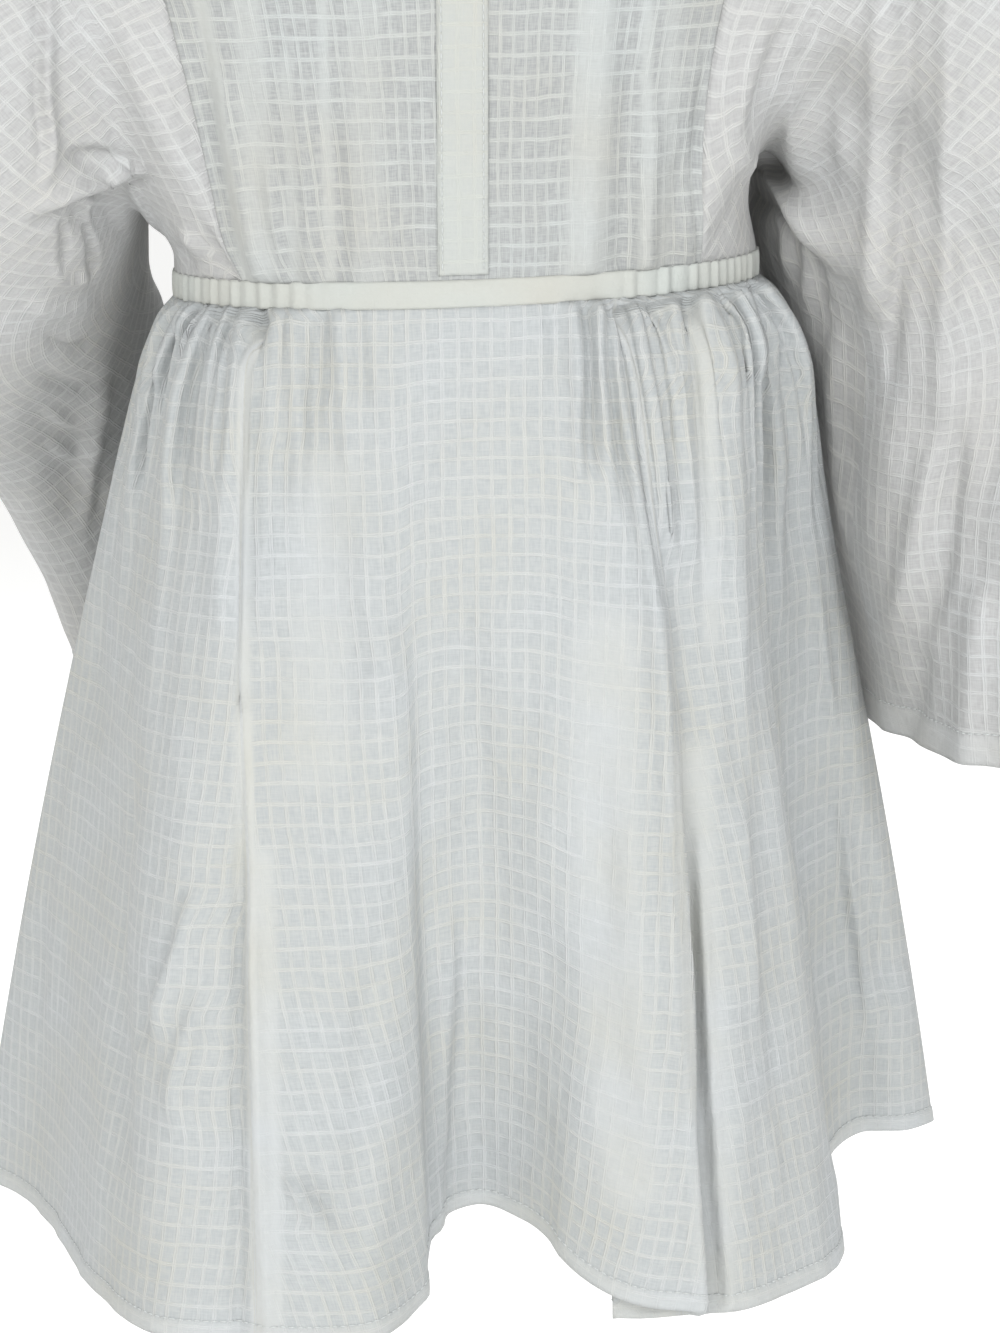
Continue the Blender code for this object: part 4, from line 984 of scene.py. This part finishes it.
def skirt_values(first_fold, last_fold, columns):
    """Bearing, hem x, hem y, lift, bow and tuck between two folds of the table."""
    names = [row[0] for row in SKIRT_FOLDS]
    rows = np.array([row[1:] for row in SKIRT_FOLDS], float)
    round_hem = np.vstack([rows, rows[:1]])[:, 1:3] + np.vstack([rows, rows[:1]])[:, 5:6] * [1, 0]
    along = column_lengths(round_hem)
    keys = 0.5 * (np.append(rows[:, 0], 180.0) + 180) / 360 + 0.5 * along / along[-1]
    start, end = keys[names.index(first_fold)], keys[names.index(last_fold)]
    end += end < start
    keys = keys[:-1]
    turn = np.array([360.0, 0, 0, 0, 0, 0])
    keys = np.concatenate([keys - 1, keys, keys + 1])
    return spline(keys, np.concatenate([rows - turn, rows, rows + turn]), np.linspace(start, end, columns)).T


def skirt_panel(first_fold, last_fold, gathers, columns, levels):
    """Points of one skirt panel from its hem up to the waist, and the bearings of its columns."""
    bearing, hem_x, hem_y, lift, bow, tuck = skirt_values(first_fold, last_fold, columns)
    top = waist_points(bearing, -CASING_HEIGHT / 2 - SEAM_GAP)
    out = waist_outward(bearing)
    hem = np.stack([hem_x, hem_y, lift], -1) * MM
    hem[:, 2] += HEM_HEIGHT
    gathered = gathering(bearing)
    wave = gather_wave(gathers, np.linspace(0, 1, columns)) * gathered * from_ends(columns, 5)
    side = np.sin(np.radians(bearing))
    centre = ease((CENTRE_FRONT - np.abs((bearing + 180) % 360 - 180)) / CENTRE_BLEND)
    rows = []
    for level in levels:
        flare = level + BELL * level**0.7 * (1 - level)
        forward = flare + (level**1.9 - flare) * centre
        row = top + (hem - top) * np.stack([0 * centre + flare, forward, 0 * centre + level], -1)
        row[:, 0] += bow * MM * 4 * level * (1 - level)
        row[:, 0] += tuck * MM * ease((level - TUCK_START) / (1 - TUCK_START))
        rise = SKIRT_SWELL * np.cos(np.radians(bearing)) ** 2 * np.sin(np.pi * level**0.8)
        fallen = level / PUFF_LEVEL
        rise = rise + PUFF * gathered * (1 + PUFF_TO_RIGHT * side) * fallen * np.exp(1 - fallen)
        drawn = GATHER_AT_SEAM + (1 - GATHER_AT_SEAM) * ease(level / GATHER_START)
        rise = rise + GATHER_DEPTH * wave * drawn * np.exp(-level / GATHER_REACH)
        for _, at, left, right, height, begin, finish in SKIRT_CREASES:
            away = (bearing - at + 180) % 360 - 180
            strength = ease((level - begin + 0.02) / 0.06) * ease((finish - level) / 0.3)
            rise = rise + height * MM * strength * np.exp(-((away / np.where(away < 0, left, right)) ** 2))
        rows.append(row + out * rise[:, None])
    return np.array(rows), bearing


def nearest_column(bearings, bearing):
    """The column whose bearing is nearest to the given one."""
    return int(np.argmin(np.abs(bearings - bearing)))


# The skirt's cloth hangs full and away from the body, so its windows show paler than the bodice's.
skirt_cotton = windowpane_cotton("white windowpane cotton", "#B1B4B5", "#9A9E9F", "#AFAFA8")
skirt_hems = {}
for side, ends in (("front", ("left side", "right side")), ("back", ("right side", "left side"))):
    columns, rows = SKIRT_GRID[side]
    band = HEM_BAND / SKIRT_CUT[side][1]
    levels = np.concatenate([
        np.linspace(1, 1 - band, SKIRT_HEM_ROWS),
        [1 - band * 1.15],
        np.linspace(1 - band * 1.6, TOP_LEVEL, rows - SKIRT_HEM_ROWS - 1 - SKIRT_TOP_ROWS),
        np.linspace(TOP_LEVEL, 0, SKIRT_TOP_ROWS + 1)[1:],
    ])
    points, bearing = skirt_panel(*ends, SKIRT_GATHERS[side], columns, levels)
    normals = out_of_cloth(points)
    turned = facing_camera(points, normals, backwards=side == "back")
    if side == "front":
        seen = photo_frame(points)
        rise = crease_rise(seen, turned, SKIRT_FRONT_CREASES)
        plain = plain_bands(seen, turned, SKIRT_FRONT_BANDS)
    else:
        rise = crease_rise(back_frame(points), turned, SKIRT_BACK_CREASES)
        plain = np.zeros(points.shape[:2])
    rise = rise + crumple_rise(points, *SKIRT_CRUMPLE)
    rise = rise * from_ends(columns, 5) * ease(levels / SEAM_LEVEL + 0.3)[:, None]
    hem = ease((levels - (1 - band * 1.1)) / (band * 0.12))
    rise = rise + HEM_STAND * hem[:, None]
    points = points + normals * rise[:, :, None]
    plain = np.maximum(plain, 0.55 * hem[:, None])
    for weave_break in WEAVE_BREAKS[side]:
        column = nearest_column(bearing, weave_break)
        plain[:, column - 1 : column + 2] = 1
    left_break, right_break = WEAVE_BREAKS[side]
    left_flank = row_lengths(points, nearest_column(bearing, (bearing[0] + left_break) / 2))
    right_flank = row_lengths(points, nearest_column(bearing, (bearing[-1] + right_break) / 2))
    across = row_lengths(points, nearest_column(bearing, 0 if side == "front" else 180))
    across = np.where(bearing < left_break, left_flank, across)
    across = np.where(bearing > right_break, right_flank, across)
    down = levels[:, None] * column_lengths(points)[-1].mean()
    name = "skirt_" + side
    panel = make_sheet(name + "_cloth", points, across, down, plain, skirt_cotton)
    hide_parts(name)
    skirt_hems[side] = points[SKIRT_HEM_ROWS], normals[SKIRT_HEM_ROWS]

# Stitching. White cotton thread, seven stitches to the inch: along the hems and down the placket's edges.
STITCH_PITCH = 3.6 * MM
STITCH_LENGTH = 2.6 * MM
STITCH_RADIUS = 0.28 * MM
thread = bpy.data.materials.new("white cotton thread")
thread.use_nodes = True
thread_shader = cotton_shader(thread.node_tree)
twist = add_node(thread.node_tree, "ShaderNodeTexCoord", {}, output=3)
twist = add_node(thread.node_tree, "ShaderNodeTexNoise", {"Vector": twist, "Scale": 900.0, "Detail": 2.0})
twist_colour = add_node(
    thread.node_tree, "ShaderNodeMix", {0: twist, 6: linear("#C0C4C3"), 7: linear("#ACAFAE")}, output=2,
    data_type="RGBA",
)
thread.node_tree.links.new(twist_colour, thread_shader.inputs["Base Color"])
bpy.ops.object.select_all(action="DESELECT")
bpy.ops.mesh.primitive_cylinder_add(vertices=6, radius=STITCH_RADIUS, depth=STITCH_LENGTH)
stitch = bpy.context.object
stitch_points = np.array([vertex.co for vertex in stitch.data.vertices])
stitch_faces = [tuple(face.vertices) for face in stitch.data.polygons]
bpy.data.objects.remove(stitch)


def sew(name, seams):
    """Lay a row of stitches along each seam, which is a line of points with a direction out of the cloth."""
    vertices, faces = [], []
    for line, outward in seams:
        keys = column_lengths(line)
        at = np.arange(STITCH_PITCH, keys[-1] - STITCH_PITCH, STITCH_PITCH)
        for start in at:
            ends = [
                np.array([np.interp(start + way, keys, line[:, axis]) for axis in range(3)])
                for way in (-STITCH_LENGTH / 2, STITCH_LENGTH / 2)
            ]
            out = np.array([np.interp(start, keys, outward[:, axis]) for axis in range(3)])
            along = (ends[1] - ends[0]) / np.linalg.norm(ends[1] - ends[0])
            side = np.cross(out, along)
            side /= np.linalg.norm(side)
            centre = (ends[0] + ends[1]) / 2 + out * STITCH_RADIUS / 2
            turned = np.stack([side, np.cross(along, side), along])
            faces += [tuple(len(vertices) * len(stitch_points) + v for v in face) for face in stitch_faces]
            vertices.append(centre + stitch_points @ turned)
    data = bpy.data.meshes.new(name)
    data.from_pydata(np.concatenate(vertices).tolist(), [], faces)
    data.materials.append(thread)
    data.shade_smooth()
    piece = bpy.data.objects.new(name, data)
    bpy.context.scene.collection.objects.link(piece)
    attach(piece, "root")
    return piece


sew("skirt_hem_stitches", [skirt_hems["front"], skirt_hems["back"]])
sew("sleeve_hem_stitches", [sleeve_hems["left"], sleeve_hems["right"]])
sew("placket_stitches", [(strip[:, 1], placket_out), (strip[:, -2], placket_out)])

# Studio: a pale floor well below the dress, soft light from the front and a near-white surround.
FLOOR_HEIGHT = -1.35
bpy.ops.object.select_all(action="DESELECT")
bpy.ops.mesh.primitive_plane_add(size=60, location=(0, 0, FLOOR_HEIGHT))
floor = bpy.context.object
floor.name = "floor"
floor_paint = bpy.data.materials.new("pale matt floor")
floor_paint.use_nodes = True
floor_shader = floor_paint.node_tree.nodes["Principled BSDF"]
floor_shader.inputs["Base Color"].default_value = linear("#F4F4F3")
floor_shader.inputs["Roughness"].default_value = 0.9
floor_shader.inputs["Emission Color"].default_value = linear("#FFFFFF")
floor_shader.inputs["Emission Strength"].default_value = 0.3
floor.data.materials.append(floor_paint)
LIGHTS_AIM = Vector((0.0, 0.0, -0.5))
LIGHTS = (
    # name, place, size, watts, colour
    ("key softbox", (-1.0, -3.1, 1.2), 1.6, 80, "#FFFFFF"),
    ("fill softbox", (1.7, -2.8, 0.1), 1.8, 42, "#FBFCFF"),
    ("back softbox", (0.6, 3.0, 1.4), 2.0, 40, "#FFFFFF"),
)
for name, place, size, watts, colour in LIGHTS:
    lamp_data = bpy.data.lights.new(name, "AREA")
    lamp_data.size = size
    lamp_data.energy = watts
    lamp_data.color = linear(colour)[:3]
    lamp = bpy.data.objects.new(name, lamp_data)
    bpy.context.scene.collection.objects.link(lamp)
    lamp.location = place
    lamp.rotation_mode = "QUATERNION"
    lamp.rotation_quaternion = (LIGHTS_AIM - Vector(place)).to_track_quat("-Z", "Y")
world = bpy.data.worlds.new("near-white surround")
bpy.context.scene.world = world
world.use_nodes = True
world.node_tree.nodes["Background"].inputs["Color"].default_value = linear("#FBFBFA")
world.node_tree.nodes["Background"].inputs["Strength"].default_value = 0.7

# Camera: above the waist and looking down at it, framed as in the photograph.
camera_data = bpy.data.cameras.new("camera")
camera_data.sensor_width = 36
camera_data.lens = camera_data.sensor_width / (2 * np.tan(np.radians(CAMERA_HALF_ANGLE)))
camera = bpy.data.objects.new("camera", camera_data)
bpy.context.scene.collection.objects.link(camera)
camera.location = CAMERA_PLACE
camera.rotation_mode = "QUATERNION"
camera.rotation_quaternion = Vector(CAMERA_AIM - CAMERA_PLACE).to_track_quat("-Z", "Y")
bpy.context.scene.camera = camera
bpy.context.scene.view_settings.view_transform = "Standard"
